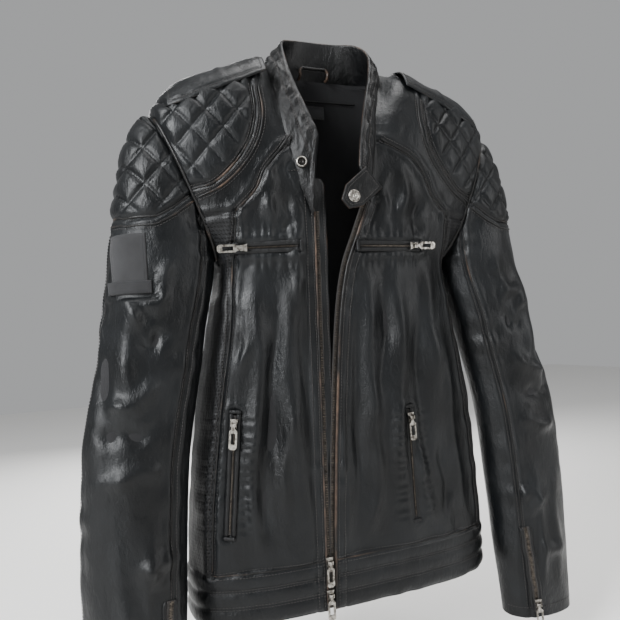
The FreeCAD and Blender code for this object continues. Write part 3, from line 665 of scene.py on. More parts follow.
def torso_form():
    """How far the torso's leather stands off its plain surface, and how worn it is."""
    form = np.zeros(X.shape)
    wear = np.zeros(X.shape)
    quilted = inside(AX, Z, QUILT_FIELD)
    pillows = quilt_form(AX - 114, Z + 30)
    quilt_gap, quilt_along = edge_distance(AX, Z, QUILT_EDGE)
    fade = np.clip(quilt_gap / 14, 0, 1) * np.clip((armhole_x(Z) - AX) / 8 + (AX < 150), 0.15, 1)
    form += np.where(quilted, pillows * fade, 0)
    form += seam_form(quilt_gap, quilt_along, pucker=0.5, seed=1)
    # a second row of piping beside the quilted field
    form += -1.1 * bell(quilt_gap - 9, 1.5) * ~quilted
    wear += 0.5 * bell(quilt_gap, 4)
    yoke_gap, yoke_along = edge_distance(AX, Z, YOKE_EDGE)
    form += np.where(BACK, 0, seam_form(yoke_gap, yoke_along, groove=2.0, puff=1.6, pucker=0.5, seed=2))
    gusset_gap, gusset_along = edge_distance(AX, Z, GUSSET_EDGE)
    form += seam_form(gusset_gap, gusset_along, groove=2.0, puff=1.8, pucker=0.9, seed=3)
    back_gap = np.abs(Z - YOKE_Z)
    form += np.where(BACK & (AX < 151), seam_form(back_gap, X, pucker=0.5, seed=4), 0)
    gusset = in_gusset_at(AX, Z)
    plain = ~quilted & (Z > WAIST_Z)
    folds = np.where(BACK, fold_form(X, Z, FOLDS_BACK, 5), fold_form(X, Z, FOLDS_FRONT, 3))
    calm = np.clip(gusset_gap / 16, 0, 1) * np.clip((Z - WAIST_Z) / 20, 0, 1)
    form += np.where(plain & ~gusset, folds * calm, 0)
    form += np.where(plain, 2.6 * lattice_noise(surface / [34, 34, 110], 11)
                     + crumple(surface, 60, 0.7, 12, (1, 1, 2.2)), 0)
    form += crumple(surface, 21, 0.28, 17, (1, 1, 1.5))
    # slack leather drawn in above the waistband
    form += np.where(plain, 1.6 * np.sin(arc / 9.5 + 2 * np.sin(arc / 41)) * bell(Z - WAIST_Z, 26), 0)
    # waistband: two stitched channels
    band = Z <= WAIST_Z
    t = (Z - WAIST_Z) / (HEM_Z - WAIST_Z)
    ribs = np.abs(np.sin(t * math.pi * 3)) ** 0.6
    gathers = np.sin(arc / 7.3 + 1.7 * np.sin(arc / 19))
    form += np.where(band, 2.8 * ribs - 0.4 + 0.7 * gathers * (1 - ribs), 0)
    # front edges: puckers square to the zip
    for line, side, seed in ((RIGHT_FRONT[4:, ::-1], -1, 5), (LEFT_FRONT[5:, ::-1], 1, 6)):
        gap, along = edge_distance(X, Z, line)
        mine = ~BACK & ((X - at_level(Z, line[:, 1], line[:, 0])) * side > -1)
        ripple = (np.sin(along / 6.1 + 1.9 * np.sin(along / 17.0 + seed))
                  * (0.6 + 0.4 * np.sin(along / 43 + seed)))
        form += np.where(mine, 1.0 * ripple * bell(gap - 7, 8) - 1.2 * bell(gap - 13, 1.8), 0)
        wear += np.where(~BACK, 0.75 * bell(gap, 2.6), 0)
    for start, end, _ in POCKETS.values():
        gap, along = edge_distance(X, Z, [start, end])
        form += np.where(BACK, 0, -2.0 * bell(gap, 3) + 1.6 * bell(gap - 11, 4)
                         + 0.85 * np.sin(along / 1.6 + 1.3 * np.sin(along / 5.3)) * bell(gap - 17, 8))
    columns = np.arange(COLUMNS)
    form *= np.clip(np.minimum(columns, columns[::-1]) / 3, 0.2, 1)[None]
    wear += 0.55 * bell(Z - HEM_Z, 3)
    wear += 0.25 * np.clip(ridged(surface / 60, 23) - 0.75, 0, 1)
    return form, np.clip(wear, 0, 1)


torso_height, torso_wear = torso_form()
torso_out = grid_normals(surface)
torso_out = outward_only(torso_out, torso_out[:, COLUMNS // 2, 1])
side_wall = (np.abs(AX - (armhole_x(Z) - ARMHOLE_GAP)) < 0.3) & (Z > UNDERARM[1])
torso_height = np.where(side_wall, 0, torso_height)
shaped = surface + torso_out * torso_height[..., None]


def rolled(points, normals, at_end):
    """Extra columns that turn a free front edge under."""
    edge = points[:, -1] if at_end else points[:, 0]
    before = points[:, -2] if at_end else points[:, 1]
    out = normals[:, -1] if at_end else normals[:, 0]
    ahead = unit(edge - before)
    extra = [edge + ahead * step - out * drop for step, drop in ROLL]
    return np.stack(extra if at_end else extra[::-1], axis=1)


def spread(values):
    """Values of the torso carried on over the rolled edges and the hem."""
    values = np.concatenate([np.repeat(values[:, :1], len(ROLL), 1), values,
                             np.repeat(values[:, -1:], len(ROLL), 1)], 1)
    return np.concatenate([values] + [values[-1:]] * 4)


def centre(values):
    """Values at the middles of a grid's faces."""
    return (values[:-1, :-1] + values[1:, :-1] + values[:-1, 1:] + values[1:, 1:]) / 4


full = np.concatenate([rolled(shaped, torso_out, False), shaped, rolled(shaped, torso_out, True)], axis=1)
hem = [full[-1] + np.array([0, 0, -0.6]), full[-1] * [0.99, 0.985, 1] + np.array([0, 0, -1.8]),
       full[-1] * [0.98, 0.96, 1] + np.array([0, 0, -0.6]),
       full[-1] * [0.98, 0.955, 1] + np.array([0, 0, 12])]
full = np.concatenate([full, np.stack(hem)], axis=0)
full_wear, full_flat = spread(torso_wear), spread(flat_torso)
full_out = grid_normals(full)
full_out = outward_only(full_out, full_out[20:-20, full.shape[1] // 2, 1])

cx, cy, cz = np.moveaxis(centre(spread(surface)), -1, 0)
cz = np.where(np.arange(len(cz))[:, None] >= len(levels) - 1, HEM_Z, cz)
back_face = cy > smooth_table(TORSO, cz)[..., 2]
acx = np.abs(cx)
in_quilt = inside(acx, cz, QUILT_FIELD)
band = cz < WAIST_Z
in_gusset = in_gusset_at(acx, cz) & ~in_quilt & ~band
in_yoke = inside(acx, cz, [(0, 40)] + QUILT_EDGE[:-1] + YOKE_EDGE[::-1][1:]) & ~in_quilt
is_right = np.arange(cx.shape[1])[None] < cx.shape[1] / 2
for word, mine in (("right", is_right), ("left", ~is_right)):
    for label, mask, what in (
            ("front_panel_", mine & ~back_face & ~in_quilt & ~in_gusset & ~band & ~in_yoke, LEATHER),
            ("front_yoke_", mine & ~back_face & in_yoke & ~band, LEATHER),
            ("shoulder_quilt_", mine & in_quilt, LEATHER),
            ("side_gusset_", mine & in_gusset, PERFORATED),
            ("waistband_", mine & ~back_face & band, LEATHER)):
        piece = grid_piece(label + word + "_hide", full, mask, what, "root", (label + word,), full_wear,
                           full_flat, full_out,
                           "perforated_leather" if what is PERFORATED else "black_leather")
for label, mask in (("back_yoke", back_face & ~in_quilt & (cz > YOKE_Z)),
                    ("back_panel", back_face & ~in_quilt & ~in_gusset & ~band & (cz <= YOKE_Z)),
                    ("waistband_back", back_face & band)):
    grid_piece(label + "_hide", full, mask, LEATHER, "root", (label,), full_wear, full_flat, full_out)

inner = (surface - torso_out * 6.0)[::2, 2:-2:2]
inner = inner - torso_out[::2, 2:-2:2] * crumple(inner, 40, 1.6, 71, (1, 1, 2))[..., None]
grid_piece("body_lining_cloth", inner, whole_grid(inner), LINING, "root", ("body_lining",),
           slot="lining_fabric")


# ---------------------------------------------------------------- lines laid on the torso
def on_torso(x, z, back=False, lift=0.0):
    """Points of the shaped torso face at places of the front view."""
    x, z = np.atleast_1d(np.asarray(x, float)), np.atleast_1d(np.asarray(z, float))
    out = np.zeros((len(x), 3))
    for k, (px, pz) in enumerate(zip(x, z)):
        r = int(np.argmin(np.abs(levels - pz)))
        candidates = np.where(BACK[r] == back)[0]
        c = candidates[int(np.argmin(np.abs(surface[r, candidates, 0] - px)))]
        rise = torso_out[r, c] * (torso_height[r, c] + lift)
        out[k] = np.array([px, float(front_y(px, pz, back)[0]), pz]) + rise
    return out


def smooth_line(points, times=2):
    points = points.copy()
    for _ in range(times):
        points[1:-1] = (points[:-2] + 2 * points[1:-1] + points[2:]) / 4
    return points


def line_on(xz, back=False, lift=0.6, step=3.0):
    """A smooth line over the shaped torso, through places of the front view."""
    xz = np.asarray(xz, float)
    flat = curve_through(xz, max(4, int(run_along(xz)[-1] / step)))
    return smooth_line(on_torso(flat[:, 0], flat[:, 1], back, lift))


pipes, stitch_lines = [], []


def seam(xz, back, radius):
    """Piping along a seam, with a stitch line on each side."""
    line = line_on(xz, back, 0.3)
    pipes.append(tube(line, radius, 8))
    across = unit(np.cross(np.gradient(line, axis=0), FORWARD))
    for side in (-1, 1):
        moved = line + across * side * 3.4
        stitch_lines.append(on_torso(moved[:, 0], moved[:, 2], back, 0.5))


for side in (-1, 1):
    neck_end = (44, -116) if side > 0 else (72, -118)
    for line, back, radius in (
            ([(112, -60), (111, -92), (118, -122), (135, -150), (160, -174), (184, -180)], False, 1.5),
            ([(104, -62), (102, -92), (109, -124), (127, -154), (152, -178), (178, -190)], False, 1.2),
            ([neck_end, (85, -136), (104, -158), (115, -182), (138, -206)], False, 1.6),
            ([(138, -207)] + GUSSET_EDGE[1:-1] + [(178, -608)], False, 1.2),
            ([(138, -207)] + GUSSET_EDGE[1:-1] + [(178, -608)], True, 1.2),
            ([(112, -60), (111, -92), (118, -122), (135, -150), (150, -165)], True, 1.5)):
        seam([(side * x, z) for x, z in line], back, radius)
seam([(x, YOKE_Z) for x in (-148, -80, 0, 80, 148)], True, 1.3)
seam([(x, WAIST_Z) for x in (-49, -120, -180)], False, 1.0)
seam([(x, WAIST_Z) for x in (-38, 60, 180)], False, 1.0)
seam([(x, WAIST_Z) for x in (-190, -60, 60, 190)], True, 1.0)


def stitched(points, pitch=3.6, length=2.5, radius=0.42):
    """Small raised stitches along a line."""
    count = max(2, int(run_along(points)[-1] / pitch))
    dense = resample(points, count * 4 + 1)
    parts = []
    for k in range(count):
        a, b = dense[4 * k], dense[4 * k + 3]
        mid = (a + b) / 2
        way = (b - a) / max(np.linalg.norm(b - a), 1e-9) * length / 2
        parts.append(tube(np.stack([mid - way, mid - way * 0.6, mid + way * 0.6, mid + way]), radius, 5))
    return merged(parts)


# two stitched channels round the waistband
for channel in (-630.7, -649.3):
    for level in (channel - 1.6, channel + 1.6):
        for xs, back in (((-52, -120, -182), False), ((-36, 60, 182), False), ((-182, 0, 182), True)):
            stitch_lines.append(line_on([(x, level) for x in xs], back, 0.4))
right_edge_line = [(-70, -160), (-51, -206), (-54, -664)]
stitch_lines.append(line_on(right_edge_line))
stitch_lines.append(line_on([(x - 7, z) for x, z in right_edge_line]))
left_edge_line = [(x + 4, z) for z, x in LEFT_FRONT[5:]]
stitch_lines.append(line_on(left_edge_line))
stitch_lines.append(line_on([(x + 8, z) for x, z in left_edge_line]))
edge_piping = [tube(line_on([(x + 0.5, z) for z, x in LEFT_FRONT[5:]], lift=-0.6), 1.7, 8),
               tube(line_on([(-46.5, -206), (-50, -664)], lift=-0.6), 1.5, 8)]
for side in (-1, 1):
    zs = np.arange(-97, -258, -2.5)
    mid, half, deep, middle = smooth_table(SLEEVE, zs).T
    limit = armhole_x(zs)
    bulge = deep * crown(np.clip(np.abs(limit + 2 - mid) / half, 0, 0.995), SLEEVE_ROUNDNESS)
    for way, sleeve_y in ((-1, middle - bulge), (1, middle + bulge)):
        torso_y = front_y(limit - 2, zs, way > 0)
        y = (sleeve_y + torso_y) / 2 - way * 0.6
        armhole = smooth_line(np.column_stack([side * limit, y, zs]), 4)
        pipes.append(tube(armhole, 2.7, 10, (0.8, 1)))
v, f = merged(pipes)
mesh_piece("seam_piping", v, f, PIPING, "root", wear=rubbed(v, 0.485, 0.45, 38, 5))
v, f = merged(edge_piping)
mesh_piece("front_edge_piping", v, f, PIPING, "root", wear=rubbed(v, 0.75, 0.4, 30, 6))


# ---------------------------------------------------------------- shoulder flaps
def flap(side):
    """A padded leather flap over one shoulder, closed all round."""
    word = "left" if side > 0 else "right"
    xs = np.arange(92, 206, STEP)
    across = 64
    grid = []
    for x in xs:
        low = edge_level(FLAP_EDGE, x)
        fine = np.linspace(TOP_Z, -92, 1400)
        half = torso_row_at(fine)[:, 0]
        top = fine[np.argmax(half > x)]
        zs = np.linspace(0, 1, 120) ** 2 * (low - top) + top
        front = np.stack([np.full(120, x), front_y(x, zs), zs], 1)[::-1]
        rear = np.stack([np.full(120, x), front_y(x, zs, True), zs], 1)
        grid.append(resample(np.vstack([front, rear[1:]]), across))
    points = np.array(grid)
    points[..., 0] *= side
    normal = grid_normals(points)
    normal = outward_only(normal, normal[:, across // 2, 2])
    count = len(xs)
    u = np.linspace(0, 1, count)[:, None]
    v = np.linspace(0, 1, across)[None]
    rim = np.minimum(np.minimum(u, 1 - u) * count * STEP, np.minimum(v, 1 - v) * across * 1.9)
    height = 3.4 + 1.3 * (1 - np.exp(-rim / 5)) - 0.9 * bell(rim - 6, 1.1)
    height = height + 1.2 * bell(u * 118 - 55, 4.5) + crumple(points, 24, 0.8, 31)
    upper = points + normal * height[..., None]
    lower = points + normal * 2.2
    loop = np.concatenate([lower[:, :1], upper, lower[:, -1:], lower[:, ::-1]], axis=1)
    ends = [np.concatenate([lower[k, :1], lower[k], lower[k, -1:], lower[k, ::-1]])[None] for k in (0, -1)]
    loop = np.concatenate([ends[0], loop, ends[1]], axis=0)
    worn = np.zeros(loop.shape[:2])
    worn[1:-1, 1:across + 1] = 0.6 * bell(rim, 3.5)
    sheet_piece("shoulder_flap_%s_hide" % word, loop, LEATHER, "root", ("shoulder_flap_" + word,), wear=worn)
    inset = max(1, int(5 / STEP))
    raised = upper + normal * 0.3
    stitch_lines.extend([raised[inset:-inset, 3], raised[inset:-inset, -4],
                         raised[inset, 3:-3], raised[-1 - inset, 3:-3]])


flap(1)
flap(-1)

# ---------------------------------------------------------------- sleeves
FOLDS_SLEEVE = [
    (225, -300, 262, -330, 9, 3.0), (215, -340, 250, -352, 8, -2.6), (222, -392, 300, -420, 10, 3.4),
    (230, -436, 298, -446, 9, -2.8), (228, -470, 302, -500, 10, 3.0), (250, -240, 262, -420, 10, 3.4),
    (276, -280, 290, -480, 9, -2.8), (240, -520, 250, -700, 10, 3.2), (276, -540, 282, -715, 9, 2.6),
    (222, -560, 262, -590, 9, 2.4), (232, -636, 300, -660, 9, 2.6), (214, -250, 222, -330, 8, 2.6)]


CUFF_Z = -735
PATCH_X = 252.5


def sleeve(side):
    """One sleeve's panels, lining, piping and stitches; returns its plain surface and form."""
    word = "left" if side > 0 else "right"
    zs = np.concatenate([np.arange(-93, -110, -STEP * 0.4), np.arange(-110, CUFF_Z, -STEP), [CUFF_Z]])
    count = int(330 / STEP)
    rows_here = smooth_table(SLEEVE, zs)
    turn = np.linspace(math.pi, 3 * math.pi, 1200)      # from the inner side, by the front
    grid = []
    for z, (mid, half, deep, middle_y) in zip(zs, rows_here):
        x, y = section(turn, half, deep, SLEEVE_ROUNDNESS)
        x, y = mid + x, middle_y + y
        if z > UNDERARM[1]:
            x = np.maximum(x, armhole_x(z) + ARMHOLE_GAP)
        line = resample(np.stack([x, y], 1), count)
        grid.append(np.column_stack([line, np.full(count, z)]))
    points = np.array(grid)
    middle = count // 2
    normal = grid_normals(points)
    normal = outward_only(normal, normal[20:, middle, 0])
    x, y, z = np.moveaxis(points, -1, 0)
    around = run_along(points)
    length = around[:, -1:]
    front = y < rows_here[:, 3][:, None]
    cap_level = edge_level(CAP_EDGE, x)
    quilted = z > cap_level
    pillows = quilt_form(x - 114, z + 30)
    gap = np.abs(z - cap_level)
    from_wall = np.abs(x - armhole_x(z) - ARMHOLE_GAP)
    wall = (from_wall < 0.3) & (z > UNDERARM[1])
    arm_gap = np.where(z > UNDERARM[1], from_wall * 0.93, 1e3)
    form = np.where(quilted, pillows * np.clip(gap / 12, 0, 1) * np.clip(arm_gap / 9, 0.1, 1), 0)
    form += seam_form(gap, around, groove=1.8, puff=1.2, pucker=0.5)
    form += -1.0 * bell(gap - 8, 1.4) * ~quilted
    form += -1.4 * bell(arm_gap, 4)
    form += 1.6 * np.sin(z / 5.2 + 2.2 * np.sin(z / 21)) * bell(arm_gap - 12, 12) * ~quilted
    # two long seams: inner front and outer edge
    seams = (0.13, 0.5)
    for k, place in enumerate(seams):
        form += np.where(z < cap_level - 6, seam_form(np.abs(around - length * place), -z, groove=1.8,
                                                      puff=1.5, pucker=1.3, seed=7 + k), 0)
    folds = np.where(front, fold_form(x, z, FOLDS_SLEEVE, 9 + side), fold_form(x, z, [
        (x0 + 6, z0 - 30, x1 - 4, z1 - 18, wide, high) for x0, z0, x1, z1, wide, high in FOLDS_SLEEVE], 4))
    form += np.where(quilted, 0, folds * np.clip(gap / 20, 0, 1))
    seed = 41 if side > 0 else 47
    shifted = points + np.array([side * 500, 0, 0])
    form += np.where(quilted, 0, 2.3 * lattice_noise(shifted / [30, 30, 105], seed)
                     + crumple(shifted, 52, 0.75, seed, (1, 1, 2.3)))
    form += crumple(shifted, 21, 0.28, seed + 5, (1, 1, 1.3))
    form = np.where(wall, 0, form)
    if side < 0:
        under_patch = front & (np.abs(x - PATCH_X) < 26) & (z < -224) & (z > -300)
        form = np.where(under_patch, np.clip(form, -0.5, 0.8), form)
    # the sleeve lies flat under the travel of the cuff slider and its pull
    flat_here = front * np.clip((17 - np.abs(x - 235)) / 5, 0, 1) * np.clip((-590 - z) / 14, 0, 1)
    form = form * (1 - flat_here) + np.minimum(form, -0.2) * flat_here
    form[:, 0] = form[:, -1] = (form[:, 0] + form[:, -1]) / 2
    shaped_here = points + normal * form[..., None]
    top = np.repeat(shaped_here[:1].mean(axis=1, keepdims=True), count, 1)
    # the cuff's end turns in
    end_in = []
    centre_line = np.array([rows_here[-1, 0], rows_here[-1, 3], 0])
    for shrink, rise in ((0.985, -0.8), (0.955, -1.2), (0.93, 0.4), (0.925, 16)):
        ring = (shaped_here[-1] - centre_line) * [shrink, shrink, 1] + centre_line
        end_in.append(ring + np.array([0, 0, rise]))
    whole = np.concatenate([top, shaped_here, np.stack(end_in)], axis=0)
    wear = 0.5 * bell(gap, 3) + 0.5 * bell(z - CUFF_Z, 3)
    wear += 0.7 * bell(around - length * 0.5, 2.2) * (z < -300)
    wear, flat, plain_points = (np.concatenate([a[:1], a] + [a[-1:]] * 4)
                                for a in (wear, np.stack([around, z], -1), points))
    whole[..., 0] *= side
    outward = grid_normals(whole)
    outward = outward_only(outward, outward[30:-10, middle, 0] * side)
    wx, wy, wz = np.moveaxis(centre(plain_points), -1, 0)
    cap_here = wz > edge_level(CAP_EDGE, wx)
    front_here = wy < smooth_table(SLEEVE, wz)[..., 3]
    made = []
    for label, mask in (("sleeve_cap_", cap_here), ("sleeve_front_", ~cap_here & front_here),
                        ("sleeve_back_", ~cap_here & ~front_here)):
        made.append(grid_piece(label + word + "_hide", whole, mask, LEATHER, None, (label + word,), wear,
                               flat, outward))
    tunnel = (points - normal * 4.5)[6::2, ::2] * [side, 1, 1]
    made.append(grid_piece("sleeve_lining_%s_cloth" % word, tunnel, whole_grid(tunnel), LINING, None,
                           ("sleeve_lining_" + word,), slot="lining_fabric"))
    # piping and stitching
    tubes, lines = [], []

    def raised(r, column, lift):
        """A point just off the sleeve's shaped face."""
        return (points[r, column] + normal[r, column] * (form[r, column] + lift)) * [side, 1, 1]

    def lay(places, lift):
        """A line over the sleeve's shaped face through (fraction round, level) pairs."""
        out = []
        for part, level in places:
            r = int(np.argmin(np.abs(zs - level)))
            out.append(raised(r, int(np.clip(round(part * (count - 1)), 0, count - 1)), lift))
        return smooth_line(np.array(out))

    long_way = np.arange(-225, -728, -5.0)
    for place in seams:
        tubes.append(tube(lay([(place, level) for level in long_way], 0.2), 1.1, 8,
                          up=(side * 0.7, -0.7, 0.0)))
        for shift in (-0.012, 0.012):
            lines.append(lay([(place + shift, level) for level in long_way], 0.4))
    for shift, radius in ((0.0, 1.5), (-9.0, 1.2)):
        rim = []
        for column in range(count):
            r = int(np.argmin(np.abs(zs - edge_level(CAP_EDGE, points[:, column, 0]) - shift)))
            if points[r, column, 0] > armhole_x(zs[r]) + 3:
                rim.append(raised(r, column, 0.4))
        rim = smooth_line(np.array(rim), 4)
        out_here = rim - np.array([side * 205, -26, 0])
        out_here[:, 2] = 0
        tubes.append(tube(rim, radius, 8, up=out_here))
        lines.append(rim + np.array([0, 0, -3.2]))
    lines.append(lay([(p, -722) for p in np.linspace(0.02, 0.98, 60)], 0.4))
    v, f = merged(tubes)
    made.append(mesh_piece("sleeve_piping_" + word, v, f, PIPING, None, wear=rubbed(v, 0.45, 0.5, 30, 8)))
    v, f = merged([stitched(line) for line in lines])
    made.append(mesh_piece("sleeve_stitching_" + word, v, f, THREAD, None))
    for piece in made:
        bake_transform(piece)
    return points, normal, form, zs


sleeve_data = {side: sleeve(side) for side in (1, -1)}

# ---------------------------------------------------------------- collar
COLLAR_SEAM = [(-49, -93, -200), (-62, -91, -162), (-71, -86, -122), (-75, -75, -88), (-77, -54, -50),
               (-77, -32, -16), (-66, 5, -8), (-38, 13.5, -8), (0, 15, -8), (38, 13.5, -8), (66, 5, -8),
               (74, -34, -16), (57, -62, -52), (43, -80, -86), (35, -90, -122), (28, -94, -156),
               (22, -95, -190)]
COLLAR_TOP = [(-41, -99, -122), (-42, -96, -112), (-45, -90, -100), (-49, -81, -80), (-54, -62, -45),
              (-56, -42, -8), (-50, -20, 22), (-30, -2, 34), (0, 5, 38), (30, -2, 35), (52, -20, 28),
              (60, -40, 8), (50, -58, -28), (36, -74, -60), (24, -86, -95), (15, -94, -128), (10, -99, -156)]


NECK_AXIS = np.array([0, -42, 0])
collar_columns = int(620 / STEP)
low_line, high_line = paired(COLLAR_SEAM, collar_columns), paired(COLLAR_TOP, collar_columns)
stand = max(16, int(50 / STEP))
UNDER_SEAM = 0.16                           # how far the collar goes on below its seam
v_up = np.linspace(-UNDER_SEAM, 1, stand)[:, None, None]
sheet = low_line[None] * (1 - v_up) + high_line[None] * v_up
out = grid_normals(sheet)
out = outward_only(out, (out * (sheet - NECK_AXIS))[..., :2].sum(axis=-1))
run = run_along((low_line + high_line) / 2)[None]
v_flat = v_up[..., 0]
belly = np.sin(np.clip(v_flat, 0, 1) * math.pi) ** 0.7
puckers = (np.sin(run / 4.3 + 2.4 * np.sin(run / 15.0) + 1.5 * v_flat * np.sin(run / 9)) * 0.8
           + np.sin(run / 8.1 + 3 * np.sin(run / 33.0)) * 0.9)
puckers = puckers * (0.6 + 0.5 * bell(v_flat - 0.72, 0.25))
outer_h = (2.4 * np.clip(1 + v_flat * 6, 0.4, 1)
           + (2.8 + 1.7 * puckers + crumple(sheet, 17, 3.2, 61, (0.7, 0.7, 1.8))) * belly)
for channel in (0.52, 0.86):
    outer_h = outer_h - 1.3 * bell(v_flat - channel, 0.028)
inner_h = -1.6 - 1.2 * belly + crumple(sheet, 22, 0.7, 67) * belly
outer_side = sheet + out * outer_h[..., None]
inner_side = sheet + out * inner_h[..., None]
up = unit(high_line - low_line)
rim_rows = np.stack([high_line + out[-1] * aside + up * rise for aside, rise in
                     ((2.2, 0.8), (1.2, 1.9), (0, 2.2), (-0.9, 1.6), (-1.5, 0.6))])
collar = np.concatenate([outer_side, rim_rows, inner_side[::-1]], axis=0)
mirror_rows = np.concatenate([inner_side, rim_rows[::-1], outer_side[::-1]], axis=0)
closed = np.concatenate([(collar[:, :1] + mirror_rows[:, :1]) / 2, collar,
                         (collar[:, -1:] + mirror_rows[:, -1:]) / 2], 1)
rim_place = np.abs(np.arange(closed.shape[0]) - stand - 2)[:, None]
collar_wear = np.broadcast_to(0.8 * bell(rim_place, 2.6), closed.shape[:2])
sheet_piece("collar_hide", closed, COLLAR_LEATHER, "root", ("collar_outer", "collar_inner"), wear=collar_wear)
for channel in (0.49, 0.55, 0.83, 0.89):
    r = int((channel + UNDER_SEAM) / (1 + UNDER_SEAM) * (stand - 1))
    stitch_lines.append(outer_side[r, 2:-2] + out[r, 2:-2] * 0.3)

# tab with a chamfered point
TAB_ROOT = np.array([25, -104, -168.0])
tab_x, tab_y, tab_z = np.array([0.642, 0, -0.767]), np.array([0.767, 0, 0.642]), np.array([0, -1.0, 0])


def tab_outline(inset):
    """The tab's outline, drawn in all round by the inset."""
    half, root, end = 16.0, -0.5, -52.0
    shape = [(-half, root), (-half, end + 16), (-half + 9, end), (half - 9, end), (half, end + 16),
             (half, root)]
    middle = np.array([0, (end + root) / 2])
    scale = 1 - inset / np.array([half, (root - end) / 2])
    return (np.array(shape) - middle) * scale + middle


def tab_piece():
    """The collar tab: rings from its back, over its rim and groove, to its crown."""
    rings = []
    for inset, height in ((0.6, 0.2), (0, 1.0), (0.1, 2.2), (0.9, 3.2), (2.2, 3.5), (3.0, 3.1), (4.2, 3.6),
                          (8, 4.1), (15.5, 4.2)):
        outline = tab_outline(inset)
        dense = resample(np.vstack([outline, outline[:1]]), 97)[:-1]
        wave = 0.6 * lattice_noise(np.column_stack([dense / 10, dense[:, :1] * 0]), 3)
        rings.append(TAB_ROOT + dense[:, :1] * tab_x + dense[:, 1:] * tab_y
                     + (height + wave * (height > 3))[:, None] * tab_z)
    rings = np.array(rings)
    rings = np.concatenate([rings, rings[:, :1]], axis=1)
    bottom, top = (np.tile(rings[k].mean(axis=0), (1, rings.shape[1], 1)) for k in (0, -1))
    rings = np.concatenate([bottom, rings, top])
    wear = np.zeros(rings.shape[:2])
    wear[2:4] = 0.8
    wear[4] = 0.5
    sheet_piece("collar_tab_hide", rings, COLLAR_LEATHER, "collar_tab_body", ("collar_tab",), wear=wear)
    mesh_piece("collar_tab_stitching", *stitched(rings[7] + tab_z * 0.2, 3.0, 2.1, 0.4), THREAD,
               "collar_tab_body")


tab_piece()


# ---------------------------------------------------------------- zips
def teeth(start, end, outward, pitch=2.7, size=(3.4, 1.6, 1.25), rows=2, gap=0.7):
    """Two meshing rows of metal teeth along a straight line."""
    start, end, outward = (np.asarray(a, float) for a in (start, end, outward))
    along = unit(end - start)
    across = unit(np.cross(along, outward))
    outward = outward_only(np.cross(across, along), np.cross(across, along) @ outward)
    parts = []
    for k in range(int(np.linalg.norm(end - start) / pitch * rows)):
        side = 1 if k % 2 or rows == 1 else -1
        middle = start + along * (k * pitch / rows + pitch / 2) + across * side * gap
        corners = []
        for dz in (0, 0.75, 1):
            shrink = 1 if dz < 1 else 0.62
            for dx, dy in ((-1, -1), (1, -1), (1, 1), (-1, 1)):
                corners.append(middle + across * dx * size[0] / 2 * shrink
                               + along * dy * size[1] / 2 * shrink + outward * dz * size[2])
        faces = [(0, 3, 2, 1), (8, 9, 10, 11)]
        for ring in (0, 4):
            faces += [(ring + a, ring + (a + 1) % 4, ring + 4 + (a + 1) % 4, ring + 4 + a)
                      for a in range(4)]
        parts.append((np.array(corners), np.array(faces)))
    return merged(parts)


def strip(line, across, outward, width, thick):
    """A grid of points: a flat band along a line, with softened edges."""
    half = width / 2
    profile = [(-half, 0), (-half, thick * 0.6), (-half + 0.5, thick), (half - 0.5, thick),
               (half, thick * 0.6), (half, 0), (-half, 0)]
    return np.stack([line + across * aside + outward * rise for aside, rise in profile], axis=1)


def pocket_zip(label, start, end, clear):
    """A closed pocket zip between two welts: tape, teeth, and lips with their end folds."""
    a, b = pocket_line(start, end, clear)
    along = unit(b - a)
    sideways = np.array([0, 0, 12.0]) if abs(along[0]) > abs(along[2]) else np.array([12.0, 0, 0])
    mid = (a + b) / 2
    deep = [float(front_y(*(mid + s * sideways)[[0, 2]])[0]) for s in (-1, 1)]
    beside = 2 * sideways + np.array([0, deep[1] - deep[0], 0])
    outward = unit(np.cross(along, beside))
    outward *= np.sign(-outward[1])
    across = np.cross(outward, along)
    line = a[None] + (b - a)[None] * np.linspace(0, 1, 60)[:, None]
    sheet_piece(label + "_tape", strip(line - outward * 2.6, across, outward, 9, 0.5), TAPE, "root", (label,),
                "zip_tape")
    row = teeth(a + along * 4 - outward * 1.9, b - along * 3 - outward * 1.9, outward, size=(1.3, 1.5, 1.0),
                gap=0.35)
    mesh_piece(label + "_teeth", *row, TEETH, "root", slot="nickel", smooth=False)
    radius = 2.9
    lips = []
    for k, side in enumerate((-1, 1)):
        ripple = 0.5 * np.sin(np.linspace(0, 24, 60) + k * 2) * np.sin(np.linspace(0, 9, 60) + k)
        middle = (line + across * (side * (4.1 + 0.25 * ripple))[:, None]
                  + outward * (ripple * 0.3 - 1.3 - clear * 0.4)[:, None])
        middle = np.vstack([middle[0] - along * 4 - across * side, middle,
                            middle[-1] + along * 4 - across * side])
        lips.append(tube(middle, radius, 14, (1, (0.9 + clear * 0.4) / radius), outward))
    for point, way in ((a, -1), (b, 1)):
        cross_line = point + along * way * 4 + across * np.linspace(-7, 7, 12)[:, None] - outward * 0.6
        lips.append(tube(cross_line, 2.4, 12, (1, 0.8), outward))
    v, f = merged(lips)
    mesh_piece(label + "_lips", v, f, COLLAR_LEATHER, "root", wear=rubbed(v, 0.14, 0.5, 16, 9))


for label, place in POCKETS.items():
    pocket_zip(label, *place)


